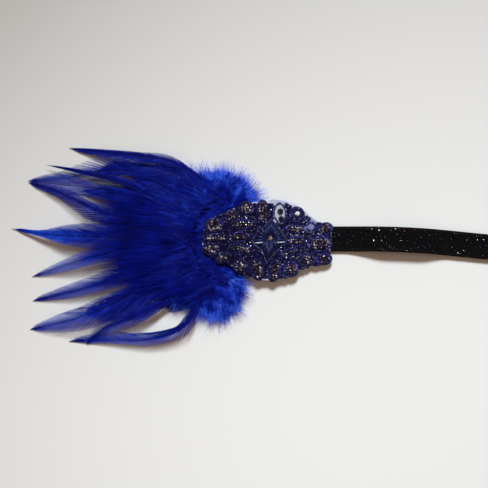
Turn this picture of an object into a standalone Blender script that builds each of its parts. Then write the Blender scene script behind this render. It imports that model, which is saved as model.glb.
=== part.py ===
"""A flapper headpiece lying face up on a table.

A glitter elastic, sewn into one loop for the head, lies folded flat. A beaded applique on a
net ground is glued across its left end, and a plume of dyed hackle feathers spreads out to the
left from under the applique. Metres, +Z up, +X along the band away from the feathers, the
origin on the table under the middle of the applique.
"""

import math

import bmesh
import bpy
from mathutils import Matrix, Vector

# Elastic band, one loop folded flat
BAND_LOOP_LENGTH = 0.520
BAND_WIDTH = 0.0160
BAND_THICKNESS = 0.0011
BAND_OFFSET = 0.0013
BAND_TURN = math.radians(5.7)
BAND_BEND_START = 0.060
BAND_BEND_LENGTH = 0.055
GAP_IN_FOLD = 0.0028
GAP_PINCHED = 0.0007
GAP_IN_ARCH = 0.0062
GAP_SETTLED = 0.0020
GAP_IN_FREE_END = 0.0056

# Applique
APPLIQUE_LENGTH = 0.0850
APPLIQUE_WIDTH = 0.0536
APPLIQUE_MIDDLE_X = -0.0021
GROUND_THICKNESS = 0.0010
PAD_THICKNESS = 0.0007
PAD_CHAMFER = 0.0002
RIM_WIDTH = 0.0016
STONE_WIDTH = 0.0023
STONE_HEIGHT = 0.0012
STONE_SPACING = 0.0003
BUGLE_WIDTH = 0.0012
BUGLES_PER_PETAL = 5
CENTRE_BEAD_WIDTH = 0.0036
CENTRE_BEAD_HEIGHT = 0.0022

# Plume
QUILL_END_THICKNESS = 0.0010
QUILL_END = -0.0130
PLUME_HEART_X = -0.0544
PLUME_HEART_Y = -0.0013
PLUME_HEART = (PLUME_HEART_X, PLUME_HEART_Y)
MASS_LENGTH = 0.1000
MASS_WIDTH = 0.1040
MASS_HEIGHT = 0.0120
MASS_RIM_HEIGHT = 0.0030
MASS_RIM_THICKNESS = 0.0014
MASS_RIPPLE_LENGTH = 0.0300
DRAPE_MARGIN = 0.0075
DRAPE_SLOPE = 0.9
APPLIQUE_MARGIN = 0.0050
FEATHER_REACH = 0.1105
VANE_WIDTH = 0.0120
VANE_THICKNESS = 0.0012
FEATHER_ROOT_HEIGHT = 0.0060
LOCK_LENGTH = 0.0080
LOCK_WIDTH = 0.0095
LOCK_THICKNESS = 0.0026

# Clearance between a piece and the one that it is seated on
SEAT = 0.0003

# How the gap between the two layers of the band runs from the applique to the free end:
# the share of that run, and the gap there.
BAND_GAPS = (
    (0.00, GAP_PINCHED),
    (0.03, GAP_PINCHED),
    (0.20, GAP_IN_ARCH),
    (0.31, GAP_IN_ARCH),
    (0.44, GAP_SETTLED),
    (0.90, GAP_SETTLED),
    (1.00, GAP_IN_FREE_END),
)

# The net ground's outline, anticlockwise from the right end, as shares of half the
# applique's length and width.
GROUND_OUTLINE = (
    (1.00, 0.02), (0.99, 0.30), (0.91, 0.42), (0.78, 0.45), (0.68, 0.56), (0.52, 0.77),
    (0.35, 0.92), (0.09, 1.00), (-0.07, 0.99), (-0.26, 0.96), (-0.43, 0.88), (-0.63, 0.71),
    (-0.83, 0.57), (-0.95, 0.36), (-1.00, 0.02), (-0.97, -0.26), (-0.85, -0.40),
    (-0.63, -0.55), (-0.37, -0.82), (-0.08, -0.98), (0.13, -0.98), (0.36, -0.90),
    (0.50, -0.76), (0.72, -0.62), (0.93, -0.55), (0.98, -0.30),
)

# The bead clusters: name, centre, and half sizes, as shares of half the applique's length
# and width, and the turn in degrees.
CLUSTER_COLUMNS = ("name", "u", "v", "half_u", "half_v", "turn")
CLUSTERS = (
    ("end_left_upper", -0.790, 0.370, 0.140, 0.170, 10),
    ("end_left_middle", -0.765, 0.085, 0.200, 0.098, 0),
    ("end_left_lower", -0.835, -0.190, 0.128, 0.150, -8),
    ("shoulder_left_upper", -0.545, 0.600, 0.096, 0.130, 25),
    ("round_left_upper", -0.310, 0.755, 0.112, 0.175, 0),
    ("tall_left_upper", -0.065, 0.700, 0.092, 0.262, 2),
    ("row_left_upper", -0.355, 0.400, 0.195, 0.115, 0),
    ("inner_left", -0.400, 0.100, 0.138, 0.125, 0),
    ("row_left_lower", -0.395, -0.185, 0.185, 0.108, -12),
    ("shoulder_left_lower", -0.650, -0.390, 0.118, 0.115, 30),
    ("round_left_lower", -0.395, -0.590, 0.112, 0.165, 0),
    ("tall_left_lower", -0.150, -0.665, 0.098, 0.262, 12),
    ("tall_right_upper", 0.190, 0.665, 0.108, 0.262, 4),
    ("round_right_upper", 0.445, 0.615, 0.112, 0.185, 0),
    ("loop_right", 0.655, 0.345, 0.084, 0.135, 0),
    ("end_right_upper", 0.872, 0.290, 0.110, 0.135, 15),
    ("row_right_upper", 0.410, 0.280, 0.140, 0.105, -5),
    ("inner_right", 0.440, -0.010, 0.132, 0.125, 0),
    ("end_right_middle", 0.785, -0.070, 0.180, 0.185, 0),
    ("end_right_lower", 0.855, -0.430, 0.115, 0.130, 8),
    ("shoulder_right_lower", 0.600, -0.440, 0.122, 0.140, -15),
    ("row_right_lower", 0.320, -0.280, 0.140, 0.088, 20),
    ("round_right_lower", 0.358, -0.660, 0.112, 0.185, 0),
    ("tall_right_lower", 0.110, -0.700, 0.094, 0.262, -15),
)

# The four petals of bugle beads round the centre bead: name, the tip's place and the
# petal's half width, as shares of half the applique's length and width.
CENTRE_U, CENTRE_V = 0.052, 0.050
PETALS = (
    ("petal_upper", 0.066, 0.480, 0.105),
    ("petal_left", -0.205, 0.000, 0.170),
    ("petal_lower", -0.005, -0.480, 0.078),
    ("petal_right", 0.267, 0.020, 0.150),
)

# The downy mass of the plume, anticlockwise from the right, as shares of half its length
# and width about its heart.
MASS_OUTLINE = (
    (0.80, 0.04), (0.84, 0.26), (0.93, 0.47), (0.97, 0.61), (0.86, 0.76), (0.71, 0.86),
    (0.51, 0.91), (0.29, 0.88), (0.04, 0.90), (-0.28, 0.93), (-0.60, 0.96), (-0.77, 0.88),
    (-0.90, 0.65), (-1.00, 0.38), (-1.00, 0.06), (-0.90, -0.23), (-0.74, -0.51),
    (-0.54, -0.71), (-0.22, -0.76), (0.10, -0.78), (0.29, -0.92), (0.51, -0.97),
    (0.69, -0.87), (0.77, -0.69), (0.77, -0.48), (0.79, -0.23),
)

# The hackles that stand clear of the mass: the route of the shaft from tip to root, as
# shares of the reach about the heart, the vane's width as a share, and how high the tip and
# the arch behind it stand, as shares of the mass's height.
FEATHERS = (
    ("top", ((-0.67, 0.55), (-0.47, 0.52), (-0.25, 0.47), (-0.04, 0.34)), 0.62, 0.00, 0.35),
    ("crossing", ((-0.80, 0.45), (-0.57, 0.40), (-0.33, 0.34), (-0.10, 0.23)), 0.42, 0.25, 0.55),
    ("grey_upper", ((-0.91, 0.36), (-0.70, 0.375), (-0.40, 0.42), (-0.10, 0.37)), 0.80, 0.00, 0.10),
    ("grey_lower", ((-0.905, 0.35), (-0.70, 0.285), (-0.47, 0.175), (-0.18, 0.12)), 1.00, 0.00, 0.25),
    ("short_upper", ((-0.59, 0.30), (-0.43, 0.285), (-0.27, 0.25), (-0.07, 0.19)), 0.85, 0.20, 0.35),
    ("middle", ((-1.00, 0.083), (-0.79, 0.05), (-0.53, 0.037), (-0.18, 0.03)), 1.30, 0.00, 0.60),
    ("lower_first", ((-0.885, -0.195), (-0.69, -0.13), (-0.47, -0.065), (-0.18, -0.01)), 1.00, 0.00, 0.30),
    ("lower_second", ((-0.88, -0.335), (-0.65, -0.28), (-0.415, -0.21), (-0.13, -0.11)), 1.00, 0.00, 0.25),
    ("lower_third", ((-0.895, -0.50), (-0.68, -0.45), (-0.445, -0.365), (-0.155, -0.20)), 1.10, 0.00, 0.30),
    ("bottom_straight", ((-0.57, -0.585), (-0.445, -0.48), (-0.27, -0.415), (-0.04, -0.31)),
     0.65, 0.05, 0.35),
    ("bottom_curled", ((-0.67, -0.57), (-0.445, -0.558), (-0.185, -0.55), (0.0, -0.474),
                       (0.09, -0.33)), 0.85, 0.00, 0.20),
)

# Stretches of the mass's outline, as shares of one turn, whose down stands out in locks,
# and the number of locks on each.
LOCK_STRETCHES = ((0.10, 0.33, 9), (0.76, 0.93, 8))


def smoothstep(t):
    t = min(max(t, 0.0), 1.0)
    return t * t * (3 - 2 * t)


def between(table, t):
    """Reads a two-column table at t, easing from each row to the next."""
    for (t0, v0), (t1, v1) in zip(table, table[1:]):
        if t <= t1:
            return v0 + (v1 - v0) * smoothstep((t - t0) / (t1 - t0))
    return table[-1][1]


def spline_point(p0, p1, p2, p3, t):
    """A point of the Catmull-Rom curve between p1 and p2."""
    return 0.5 * (
        2 * p1
        + (p2 - p0) * t
        + (2 * p0 - 5 * p1 + 4 * p2 - p3) * t**2
        + (3 * p1 - p0 - 3 * p2 + p3) * t**3
    )


def open_curve(points, count):
    """count points spaced evenly in the parameter along the curve through points."""
    points = [Vector(p) for p in points]
    points = [2 * points[0] - points[1], *points, 2 * points[-1] - points[-2]]
    spans = len(points) - 3
    curve = []
    for i in range(count):
        place = spans * i / (count - 1)
        k = min(int(place), spans - 1)
        curve.append(spline_point(*points[k:k + 4], place - k))
    return curve


def closed_curve(points, count):
    """count points round the closed curve through points."""
    points = [Vector(p) for p in points]
    n = len(points)
    curve = []
    for i in range(count):
        place = n * i / count
        k = int(place)
        corners = [points[(k + j) % n] for j in (-1, 0, 1, 2)]
        curve.append(spline_point(*corners, place - k))
    return curve


def scaled(points, half_x, half_y):
    return [Vector((x * half_x, y * half_y)) for x, y in points]


def on_applique(u, v):
    """The place on the applique of shares of half its length and width."""
    return Vector((APPLIQUE_MIDDLE_X + u * APPLIQUE_LENGTH / 2, v * APPLIQUE_WIDTH / 2))


def band_middle(x):
    """The band's middle line: its Y at x, and its slope there. It bends once, gently."""
    slope = -math.tan(BAND_TURN)
    past = min(max(x - BAND_BEND_START, 0.0), BAND_BEND_LENGTH)
    beyond = max(x - BAND_BEND_START - BAND_BEND_LENGTH, 0.0)
    ramp = past / BAND_BEND_LENGTH
    return BAND_OFFSET + slope * (past * ramp / 2 + beyond), slope * ramp


# The applique lies sloping: its right end on the band, its left end on the quills.
APPLIQUE_END = APPLIQUE_MIDDLE_X + APPLIQUE_LENGTH / 2
BAND_LEAVES_PAST_END = 0.0010
BAND_LEAVES_AT = APPLIQUE_END + BAND_LEAVES_PAST_END
UNDERSIDE_RIGHT = 2 * BAND_THICKNESS + GAP_PINCHED + SEAT
UNDERSIDE_AT_QUILLS = 2 * BAND_THICKNESS + GAP_IN_FOLD + QUILL_END_THICKNESS + 2 * SEAT
APPLIQUE_SLOPE = (UNDERSIDE_AT_QUILLS - UNDERSIDE_RIGHT) / (BAND_LEAVES_AT - QUILL_END)
FOLD_AT = -0.43 * APPLIQUE_LENGTH


def applique_underside(x):
    return UNDERSIDE_RIGHT + APPLIQUE_SLOPE * (BAND_LEAVES_AT - x)


def layer_gap(x, free_end):
    """The gap between the two layers of the band. Under the applique the upper layer lies
    SEAT below the ground as far as the fold lets it."""
    if x < BAND_LEAVES_AT:
        return min(GAP_IN_FOLD, applique_underside(x) - SEAT - 2 * BAND_THICKNESS)
    return between(BAND_GAPS, (x - BAND_LEAVES_AT) / (free_end - BAND_LEAVES_AT))


def half_turn(x, gap, side):
    """The fold at one end of the loop, from the lower layer to the upper or back."""
    steps = 8
    radius = (gap + BAND_THICKNESS) / 2
    for i in range(1, steps):
        angle = side * (math.pi * i / steps - math.pi / 2)
        yield x + side * radius * math.cos(angle), BAND_THICKNESS / 2 + radius * (
            1 + side * math.sin(angle)
        )


def loop_line(free_end):
    """The middle of the band's thickness all round the loop, as (x, z)."""
    lower_steps, upper_steps = 18, 42
    low = BAND_THICKNESS / 2
    line = []
    for i in range(lower_steps + 1):
        line.append((FOLD_AT + (free_end - FOLD_AT) * i / lower_steps, low))
    line.extend(half_turn(free_end, GAP_IN_FREE_END, 1))
    for i in range(upper_steps + 1):
        x = free_end + (FOLD_AT - free_end) * i / upper_steps
        line.append((x, low + BAND_THICKNESS + layer_gap(x, free_end)))
    line.extend(half_turn(FOLD_AT, GAP_IN_FOLD, -1))
    return line


def line_length(line):
    total = 0.0
    for (x0, z0), (x1, z1) in zip(line, line[1:] + line[:1]):
        total += math.dist((x0, band_middle(x0)[0], z0), (x1, band_middle(x1)[0], z1))
    return total


def find_free_end():
    """Where the free fold comes, for the loop to have its cut length."""
    free_end = FOLD_AT + BAND_LOOP_LENGTH / 2
    for _ in range(6):
        free_end += (BAND_LOOP_LENGTH - line_length(loop_line(free_end))) / 2
    return free_end


FREE_END = find_free_end()


def clear_scene():
    for obj in list(bpy.data.objects):
        bpy.data.objects.remove(obj, do_unlink=True)


def make_material(name, colour, roughness, metallic):
    material = bpy.data.materials.new(name)
    material.use_nodes = True
    shader = material.node_tree.nodes["Principled BSDF"]
    shader.inputs["Base Color"].default_value = (*colour, 1.0)
    shader.inputs["Roughness"].default_value = roughness
    shader.inputs["Metallic"].default_value = metallic
    return material


def add_object(name, bm, material, parent=None):
    bmesh.ops.recalc_face_normals(bm, faces=bm.faces)
    mesh = bpy.data.meshes.new(name)
    bm.to_mesh(mesh)
    bm.free()
    obj = bpy.data.objects.new(name, mesh)
    obj.parent = parent
    bpy.context.scene.collection.objects.link(obj)
    if material:
        mesh.materials.append(material)
    return obj


def fuse(obj, guide):
    """Fuses the shapes of a hidden guide to obj with a live union."""
    guide.hide_render = True
    guide.display_type = "WIRE"
    union = obj.modifiers.new("fused", "BOOLEAN")
    union.operation = "UNION"
    union.solver = "EXACT"
    union.use_self = True
    union.object = guide


def loft(bm, rings):
    """Joins rings of equally many points into one closed skin with flat caps."""
    rows = [[bm.verts.new(p) for p in ring] for ring in rings]
    for low, high in zip(rows, rows[1:]):
        for i in range(len(low)):
            j = (i + 1) % len(low)
            bm.faces.new((low[i], low[j], high[j], high[i]))
    bm.faces.new(rows[0][::-1])
    bm.faces.new(rows[-1])


def flat_ring(outline, z, inset=0.0):
    """An outline at height z, drawn in by inset towards its middle."""
    middle = sum(outline, Vector((0, 0))) / len(outline)
    ring = []
    for p in outline:
        away = p - middle
        p = middle + away * (1 - inset / away.length)
        ring.append(Vector((p.x, p.y, z)))
    return ring


def build_band(material):
    """The elastic: a strip of even thickness carried round the loop's middle line."""
    line = loop_line(FREE_END)
    bm = bmesh.new()
    rows = []
    for k, (x, z) in enumerate(line):
        before, after = line[k - 1], line[(k + 1) % len(line)]
        along = Vector((after[0] - before[0], after[1] - before[1])).normalized()
        normal = Vector((along.y, -along.x))
        row = []
        for side, face in ((-1, 1), (1, 1), (1, -1), (-1, -1)):
            px = x + face * normal.x * BAND_THICKNESS / 2
            pz = z + face * normal.y * BAND_THICKNESS / 2
            y, slope = band_middle(px)
            across = Vector((-slope, 1)).normalized() * side * BAND_WIDTH / 2
            row.append(bm.verts.new((px + across.x, y + across.y, pz)))
        rows.append(row)
    for low, high in zip(rows, rows[1:] + rows[:1]):
        for i in range(4):
            j = (i + 1) % 4
            bm.faces.new((low[i], low[j], high[j], high[i]))
    return add_object("elastic_band", bm, material)


def applique_frame():
    """The empty that carries the applique: its XY plane is the ground's underside."""
    frame = bpy.data.objects.new("applique_frame", None)
    frame.location = (0, 0, applique_underside(0))
    frame.rotation_euler = (0, math.atan(APPLIQUE_SLOPE), 0)
    bpy.context.scene.collection.objects.link(frame)
    return frame


def build_ground(frame, material):
    outline_points = 52
    outline = closed_curve([on_applique(u, v) for u, v in GROUND_OUTLINE], outline_points)
    bm = bmesh.new()
    loft(bm, [flat_ring(outline, 0), flat_ring(outline, GROUND_THICKNESS)])
    return add_object("net_ground", bm, material, frame)


def cluster_outline(cluster, count):
    """The rounded outline of one bead cluster in the applique's plane."""
    half_u = cluster["half_u"] * APPLIQUE_LENGTH / 2
    half_v = cluster["half_v"] * APPLIQUE_WIDTH / 2
    middle = on_applique(cluster["u"], cluster["v"])
    turn = Matrix.Rotation(math.radians(cluster["turn"]), 2)
    outline = []
    for i in range(count):
        angle = 2 * math.pi * i / count
        outline.append(middle + turn @ Vector((half_u * math.cos(angle), half_v * math.sin(angle))))
    return outline


def stone_places(cluster):
    """The middles of the cut beads of a cluster: rows that fill it inside its rim."""
    pitch = STONE_WIDTH + STONE_SPACING
    room_u = max(cluster["half_u"] * APPLIQUE_LENGTH / 2 - RIM_WIDTH - STONE_WIDTH / 2, 0.0)
    room_v = max(cluster["half_v"] * APPLIQUE_WIDTH / 2 - RIM_WIDTH - STONE_WIDTH / 2, 0.0)
    middle = on_applique(cluster["u"], cluster["v"])
    turn = Matrix.Rotation(math.radians(cluster["turn"]), 2)
    rows = int(2 * room_v / pitch) + 1
    places = []
    for r in range(rows):
        v = (r - (rows - 1) / 2) * pitch
        chord = room_u * math.sqrt(max(1 - (v / room_v) ** 2, 0.0)) if room_v > 0 else room_u
        count = int(2 * chord / pitch) + 1
        for c in range(count):
            places.append(middle + turn @ Vector(((c - (count - 1) / 2) * pitch, v)))
    return places


def add_cut_stone(bm, place, base, width, height, sides):
    """A cut bead: a straight girdle, a crown of sloping facets and a flat table."""
    sink, girdle, table = PAD_THICKNESS / 2, 0.35 * height, 0.52
    levels = ((base - sink, 1.0), (base + girdle, 1.0), (base + height, table))
    rings = []
    for z, share in levels:
        ring = []
        for i in range(sides):
            angle = 2 * math.pi * (i + 0.5) / sides
            ring.append(Vector((
                place.x + share * width / 2 * math.cos(angle),
                place.y + share * width / 2 * math.sin(angle),
                z,
            )))
        rings.append(ring)
    loft(bm, rings)


def pad_base():
    return GROUND_THICKNESS + SEAT


def build_cluster(cluster, frame, material):
    """One cluster: a stiffened pad as wide as its rim of seed beads, with its cut beads."""
    outline_points, stone_sides = 16, 8
    outline = cluster_outline(cluster, outline_points)
    top = pad_base() + PAD_THICKNESS
    bm = bmesh.new()
    loft(bm, [
        flat_ring(outline, pad_base()),
        flat_ring(outline, top - PAD_CHAMFER),
        flat_ring(outline, top, PAD_CHAMFER),
    ])
    pad = add_object("cluster_" + cluster["name"], bm, material, frame)
    stones = bmesh.new()
    for place in stone_places(cluster):
        add_cut_stone(stones, place, top, STONE_WIDTH, STONE_HEIGHT, stone_sides)
    fuse(pad, add_object("stones_" + cluster["name"], stones, None, frame))
    return pad


def petal_kite(tip, centre, half_width):
    """A petal's outline: a kite from just outside the centre bead to its tip."""
    along = tip - centre
    length = along.length
    along.normalize()
    across = Vector((-along.y, along.x))
    start = centre + along * (CENTRE_BEAD_WIDTH / 2 + SEAT)
    widest = centre + along * 0.58 * length
    return start, tip, widest, across * half_width


def build_petal(name, tip, centre, half_width, frame, material):
    """A petal: a flat pad under a fan of bugle beads that spread from the centre bead."""
    start, tip, widest, across = petal_kite(tip, centre, half_width)
    narrow = 0.18
    outline = [
        start - across * narrow, widest - across, tip - across * narrow,
        tip + across * narrow, widest + across, start + across * narrow,
    ]
    top = pad_base() + PAD_THICKNESS
    bm = bmesh.new()
    loft(bm, [flat_ring(outline, pad_base()), flat_ring(outline, top)])
    pad = add_object(name, bm, material, frame)
    tubes = bmesh.new()
    for i in range(BUGLES_PER_PETAL):
        side = 2 * i / (BUGLES_PER_PETAL - 1) - 1
        reach = 1 - 0.42 * abs(side)
        inner = start.lerp(widest, 0.25) + across * side * 0.30
        outer = widest + (tip - widest) * (reach - 0.25) + across * side * 0.42
        add_bugle(tubes, inner, outer, top + BUGLE_WIDTH * 0.2)
    fuse(pad, add_object(name + "_bugles", tubes, None, frame))
    return pad


def add_bugle(bm, start, end, z):
    """One bugle bead, a six-sided tube lying along the petal."""
    sides = 6
    along = (end - start).normalized()
    across = Vector((-along.y, along.x, 0))
    rings = []
    for p in (start, end):
        ring = []
        for i in range(sides):
            angle = 2 * math.pi * (i + 0.5) / sides
            offset = across * math.cos(angle) + Vector((0, 0, 1)) * math.sin(angle)
            ring.append(Vector((p.x, p.y, z)) + offset * BUGLE_WIDTH / 2)
        rings.append(ring)
    loft(bm, rings)


def build_centre_bead(centre, frame, material):
    """The cut bead in the middle of the flower, on its own short foot."""
    sides = 12
    foot = bmesh.new()
    rings = []
    for z, share in ((0, 0.92), (0.45, 1.0), (1.0, 0.5)):
        ring = []
        for i in range(sides):
            angle = 2 * math.pi * i / sides
            ring.append(Vector((
                centre.x + share * CENTRE_BEAD_WIDTH / 2 * math.cos(angle),
                centre.y + share * CENTRE_BEAD_WIDTH / 2 * math.sin(angle),
                pad_base() + z * CENTRE_BEAD_HEIGHT,
            )))
        rings.append(ring)
    loft(foot, rings)
    return add_object("centre_bead", foot, material, frame)


def build_applique(materials):
    frame = applique_frame()
    build_ground(frame, materials["net"])
    for row in CLUSTERS:
        build_cluster(dict(zip(CLUSTER_COLUMNS, row)), frame, materials["cut_bead"])
    centre = on_applique(CENTRE_U, CENTRE_V)
    for name, u, v, half_width in PETALS:
        half_width *= APPLIQUE_LENGTH / 2
        build_petal(name, on_applique(u, v), centre, half_width, frame, materials["bugle"])
    build_centre_bead(centre, frame, materials["cut_bead"])


def outside_band(x, y):
    """How far (x, y) lies outside the part of the table that the band covers."""
    past_fold = FOLD_AT - (GAP_IN_FOLD / 2 + BAND_THICKNESS) - x
    past_edge = abs(y - BAND_OFFSET) - BAND_WIDTH / 2
    return math.hypot(max(past_fold, 0.0), max(past_edge, 0.0))


def mass_underside(x, y, share):
    """The plume's underside: over the band where the band is, and else near the table."""
    over_band = 2 * BAND_THICKNESS + GAP_IN_FOLD + SEAT
    draped = over_band - max(outside_band(x, y) - DRAPE_MARGIN, 0.0) * DRAPE_SLOPE
    rim = MASS_RIM_HEIGHT - MASS_RIM_THICKNESS
    return max(draped, SEAT + (rim - SEAT) * share**3)


def under_applique(x, y):
    """Whether (x, y) lies under the ground, or within a grid step of it."""
    half_u = APPLIQUE_LENGTH / 2 + APPLIQUE_MARGIN
    half_v = APPLIQUE_WIDTH / 2 + APPLIQUE_MARGIN
    return abs((x - APPLIQUE_MIDDLE_X) / half_u) ** 2.3 + abs(y / half_v) ** 2.3 < 1


def mass_top(x, y, share, bottom):
    turn = 2 * math.pi / MASS_RIPPLE_LENGTH
    ripple = 1 + 0.07 * math.sin(turn * x) * math.cos(0.8 * turn * y)
    ripple += 0.05 * math.sin(1.6 * turn * (x - y))
    full = MASS_RIM_HEIGHT + (MASS_HEIGHT * ripple - MASS_RIM_HEIGHT) * (1 - share**2.6)
    full = max(full, bottom + QUILL_END_THICKNESS)
    if under_applique(x, y):
        full = min(full, applique_underside(x) - SEAT)
    return full


def build_mass():
    """The downy heart of the plume, as one skin over rings about its heart."""
    spokes, rings = 38, 8
    outline = closed_curve(scaled(MASS_OUTLINE, MASS_LENGTH / 2, MASS_WIDTH / 2), spokes)
    heart = Vector(PLUME_HEART)
    bm = bmesh.new()

    def point(place, share, upper):
        x, y = place
        bottom = mass_underside(x, y, share)
        return bm.verts.new((x, y, mass_top(x, y, share, bottom) if upper else bottom))

    skins = []
    for upper in (True, False):
        rows = [[point(heart, 0, upper)]]
        for r in range(1, rings + 1):
            share = r / rings
            rows.append([point(heart + p * share, share, upper) for p in outline])
        for i in range(spokes):
            bm.faces.new((rows[0][0], rows[1][i], rows[1][(i + 1) % spokes]))
        for low, high in zip(rows[1:], rows[2:]):
            for i in range(spokes):
                j = (i + 1) % spokes
                bm.faces.new((low[i], high[i], high[j], low[j]))
        skins.append(rows[-1])
    for i in range(spokes):
        j = (i + 1) % spokes
        bm.faces.new((skins[0][i], skins[0][j], skins[1][j], skins[1][i]))
    return bm, outline


def blade_ring(middle, along, half_width, half_thickness):
    """The flat six-sided section of a vane across its shaft."""
    across = Vector((-along.y, along.x, 0)).normalized()
    up = Vector((0, 0, 1))
    corners = ((1, 0), (0.35, 1), (-0.35, 1), (-1, 0), (-0.35, -1), (0.35, -1))
    return [middle + across * half_width * a + up * half_thickness * b for a, b in corners]


def add_feather(bm, route, width, tip_height, arch):
    """One hackle as a thin blade: it rests on its tip, arches and ends in the mass."""
    sections = 11
    heart = Vector(PLUME_HEART)
    shaft = open_curve([heart + Vector(p) * FEATHER_REACH for p in route], sections)
    low = VANE_THICKNESS / 2
    rings = []
    for k, place in enumerate(shaft):
        t = k / (sections - 1)
        before, after = shaft[max(k - 1, 0)], shaft[min(k + 1, sections - 1)]
        z = low + tip_height * MASS_HEIGHT * (1 - t)
        z += (FEATHER_ROOT_HEIGHT - low) * smoothstep(t * 1.1)
        z += arch * MASS_HEIGHT * math.sin(math.pi * t) ** 1.2
        spread = min(1.0, 0.06 + 1.9 * t) * (1 - 0.25 * smoothstep((t - 0.6) / 0.4))
        rings.append(blade_ring(
            Vector((place.x, place.y, z)), after - before,
            width * VANE_WIDTH / 2 * spread, low * min(1.0, 0.55 + 2 * t),
        ))
    loft(bm, rings)


def add_lock(bm, root, away, height):
    """A tapering lock of down on the rim of the mass."""
    rings = []
    for t, share in ((-0.60, 1.0), (0.10, 0.92), (0.62, 0.60), (1.0, 0.12)):
        place = root + away * LOCK_LENGTH * t
        middle = Vector((place.x, place.y, height * (1 - 0.25 * t)))
        rings.append(blade_ring(middle, away, LOCK_WIDTH / 2 * share, LOCK_THICKNESS / 2 * share))
    loft(bm, rings)


def build_plume(material):
    """The plume: hackles and locks of down fused to the mass over the quills."""
    mass, outline = build_mass()
    plume = add_object("feather_plume", mass, material)
    guide = bmesh.new()
    for _name, route, width, tip_height, arch in FEATHERS:
        add_feather(guide, route, width, tip_height, arch)
    heart = Vector(PLUME_HEART)
    for first, last, count in LOCK_STRETCHES:
        for i in range(count):
            place = len(outline) * (first + (last - first) * i / (count - 1))
            k = int(place) % len(outline)
            rim = outline[k].lerp(outline[(k + 1) % len(outline)], place - int(place))
            sway = Matrix.Rotation(0.35 * math.sin(2.4 * i), 2)
            away = sway @ rim.normalized()
            add_lock(guide, heart + rim * 0.97, away, MASS_RIM_HEIGHT - MASS_RIM_THICKNESS / 2)
    fuse(plume, add_object("hackles_and_locks", guide, None))
    return plume


def main():
    clear_scene()
    materials = {
        "elastic": make_material("glitter_elastic", (0.010, 0.010, 0.013), 0.65, 0.0),
        "net": make_material("net_ground", (0.45, 0.47, 0.66), 0.5, 0.0),
        "cut_bead": make_material("cut_beads", (0.06, 0.04, 0.08), 0.2, 0.6),
        "bugle": make_material("bugle_beads", (0.03, 0.04, 0.18), 0.2, 0.1),
        "feather": make_material("dyed_feather", (0.004, 0.012, 0.30), 0.6, 0.0),
    }
    build_band(materials["elastic"])
    build_applique(materials)
    build_plume(materials["feather"])


main()
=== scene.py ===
"""The looks of a flapper headpiece that lies face up on a pale table.

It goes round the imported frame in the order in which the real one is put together: the glitter
elastic, the net ground with its beads, and the plume. Metres, +Z up, the camera straight above.
"""

import math
import random

import bmesh
import bpy
from mathutils import Matrix, Vector


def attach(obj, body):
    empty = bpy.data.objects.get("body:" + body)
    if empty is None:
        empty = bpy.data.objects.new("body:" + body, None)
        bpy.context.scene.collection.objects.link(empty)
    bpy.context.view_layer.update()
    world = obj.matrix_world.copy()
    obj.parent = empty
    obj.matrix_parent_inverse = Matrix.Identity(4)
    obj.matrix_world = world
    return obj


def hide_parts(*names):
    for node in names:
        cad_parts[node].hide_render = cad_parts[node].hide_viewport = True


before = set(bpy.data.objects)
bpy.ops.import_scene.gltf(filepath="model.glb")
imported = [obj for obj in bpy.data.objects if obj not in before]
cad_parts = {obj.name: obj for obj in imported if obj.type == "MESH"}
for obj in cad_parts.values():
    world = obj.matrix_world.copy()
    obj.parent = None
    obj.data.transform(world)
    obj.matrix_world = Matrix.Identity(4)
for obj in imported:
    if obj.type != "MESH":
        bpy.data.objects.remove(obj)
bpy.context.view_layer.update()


# Table, light and camera
# A pale table under one broad soft light from its far side, with the warm dim light of a
# room in the shadows and a few small lamps for the beads to glint in. Its colour carries a
# painted gradient of light. The photograph looks straight down from about 0.6 m.
PIXEL = 0.00064
VIEW_SPAN = 488 * PIXEL
VIEW_MIDDLE = Vector((-0.01664, -0.00192))
CAMERA_HEIGHT = 0.62
SENSOR = 36.0
TABLE_SIZE = 4.0
SUN_ELEVATION = math.radians(50)
SUN_BREADTH = math.radians(14)
SUN_STRENGTH = 3.95
SUN_COLOUR = (0.87, 0.96, 1.0)
ROOM_COLOUR = (0.232, 0.134, 0.077)
BACKDROP_COLOUR = (0.72, 0.71, 0.69)
LAMPS = ((20, 62), (75, 40), (140, 70), (200, 48), (255, 66), (310, 38))
LAMP_DISTANCE = 1.1
LAMP_SIZE = 0.09
LAMP_POWER = 0.20
EVEN_FROM = 0.17
EVEN_BY = 0.50
EVEN_LIGHT = 0.58


class Wire:
    """A node's output that takes part in Python arithmetic."""

    def __init__(self, graph, node, socket):
        self.graph = graph
        self.node = node
        self.socket = socket

    def output(self, name):
        """Another output of the same node."""
        return Wire(self.graph, self.node, self.graph.find(self.node.outputs, name))

    def maths(self, operation, *values):
        kinds = [v.socket.type for v in values if isinstance(v, Wire)]
        kind = "ShaderNodeVectorMath" if "VECTOR" in kinds else "ShaderNodeMath"
        return self.graph.node(kind, {"operation": operation}, dict(enumerate(values)))

    def __add__(self, other):
        return self.maths("ADD", self, other)

    def __radd__(self, other):
        return self.maths("ADD", other, self)

    def __sub__(self, other):
        return self.maths("SUBTRACT", self, other)

    def __rsub__(self, other):
        return self.maths("SUBTRACT", other, self)

    def __mul__(self, other):
        return self.maths("MULTIPLY", self, other)

    def __rmul__(self, other):
        return self.maths("MULTIPLY", other, self)

    def __truediv__(self, other):
        return self.maths("DIVIDE", self, other)

    def __rtruediv__(self, other):
        return self.maths("DIVIDE", other, self)

    def __pow__(self, other):
        return self.maths("POWER", self, other)

    def __rpow__(self, other):
        return self.maths("POWER", other, self)

    def __gt__(self, other):
        return self.maths("GREATER_THAN", self, other)

    def __lt__(self, other):
        return self.maths("LESS_THAN", self, other)

    def __abs__(self):
        return self.maths("ABSOLUTE", self)


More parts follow.
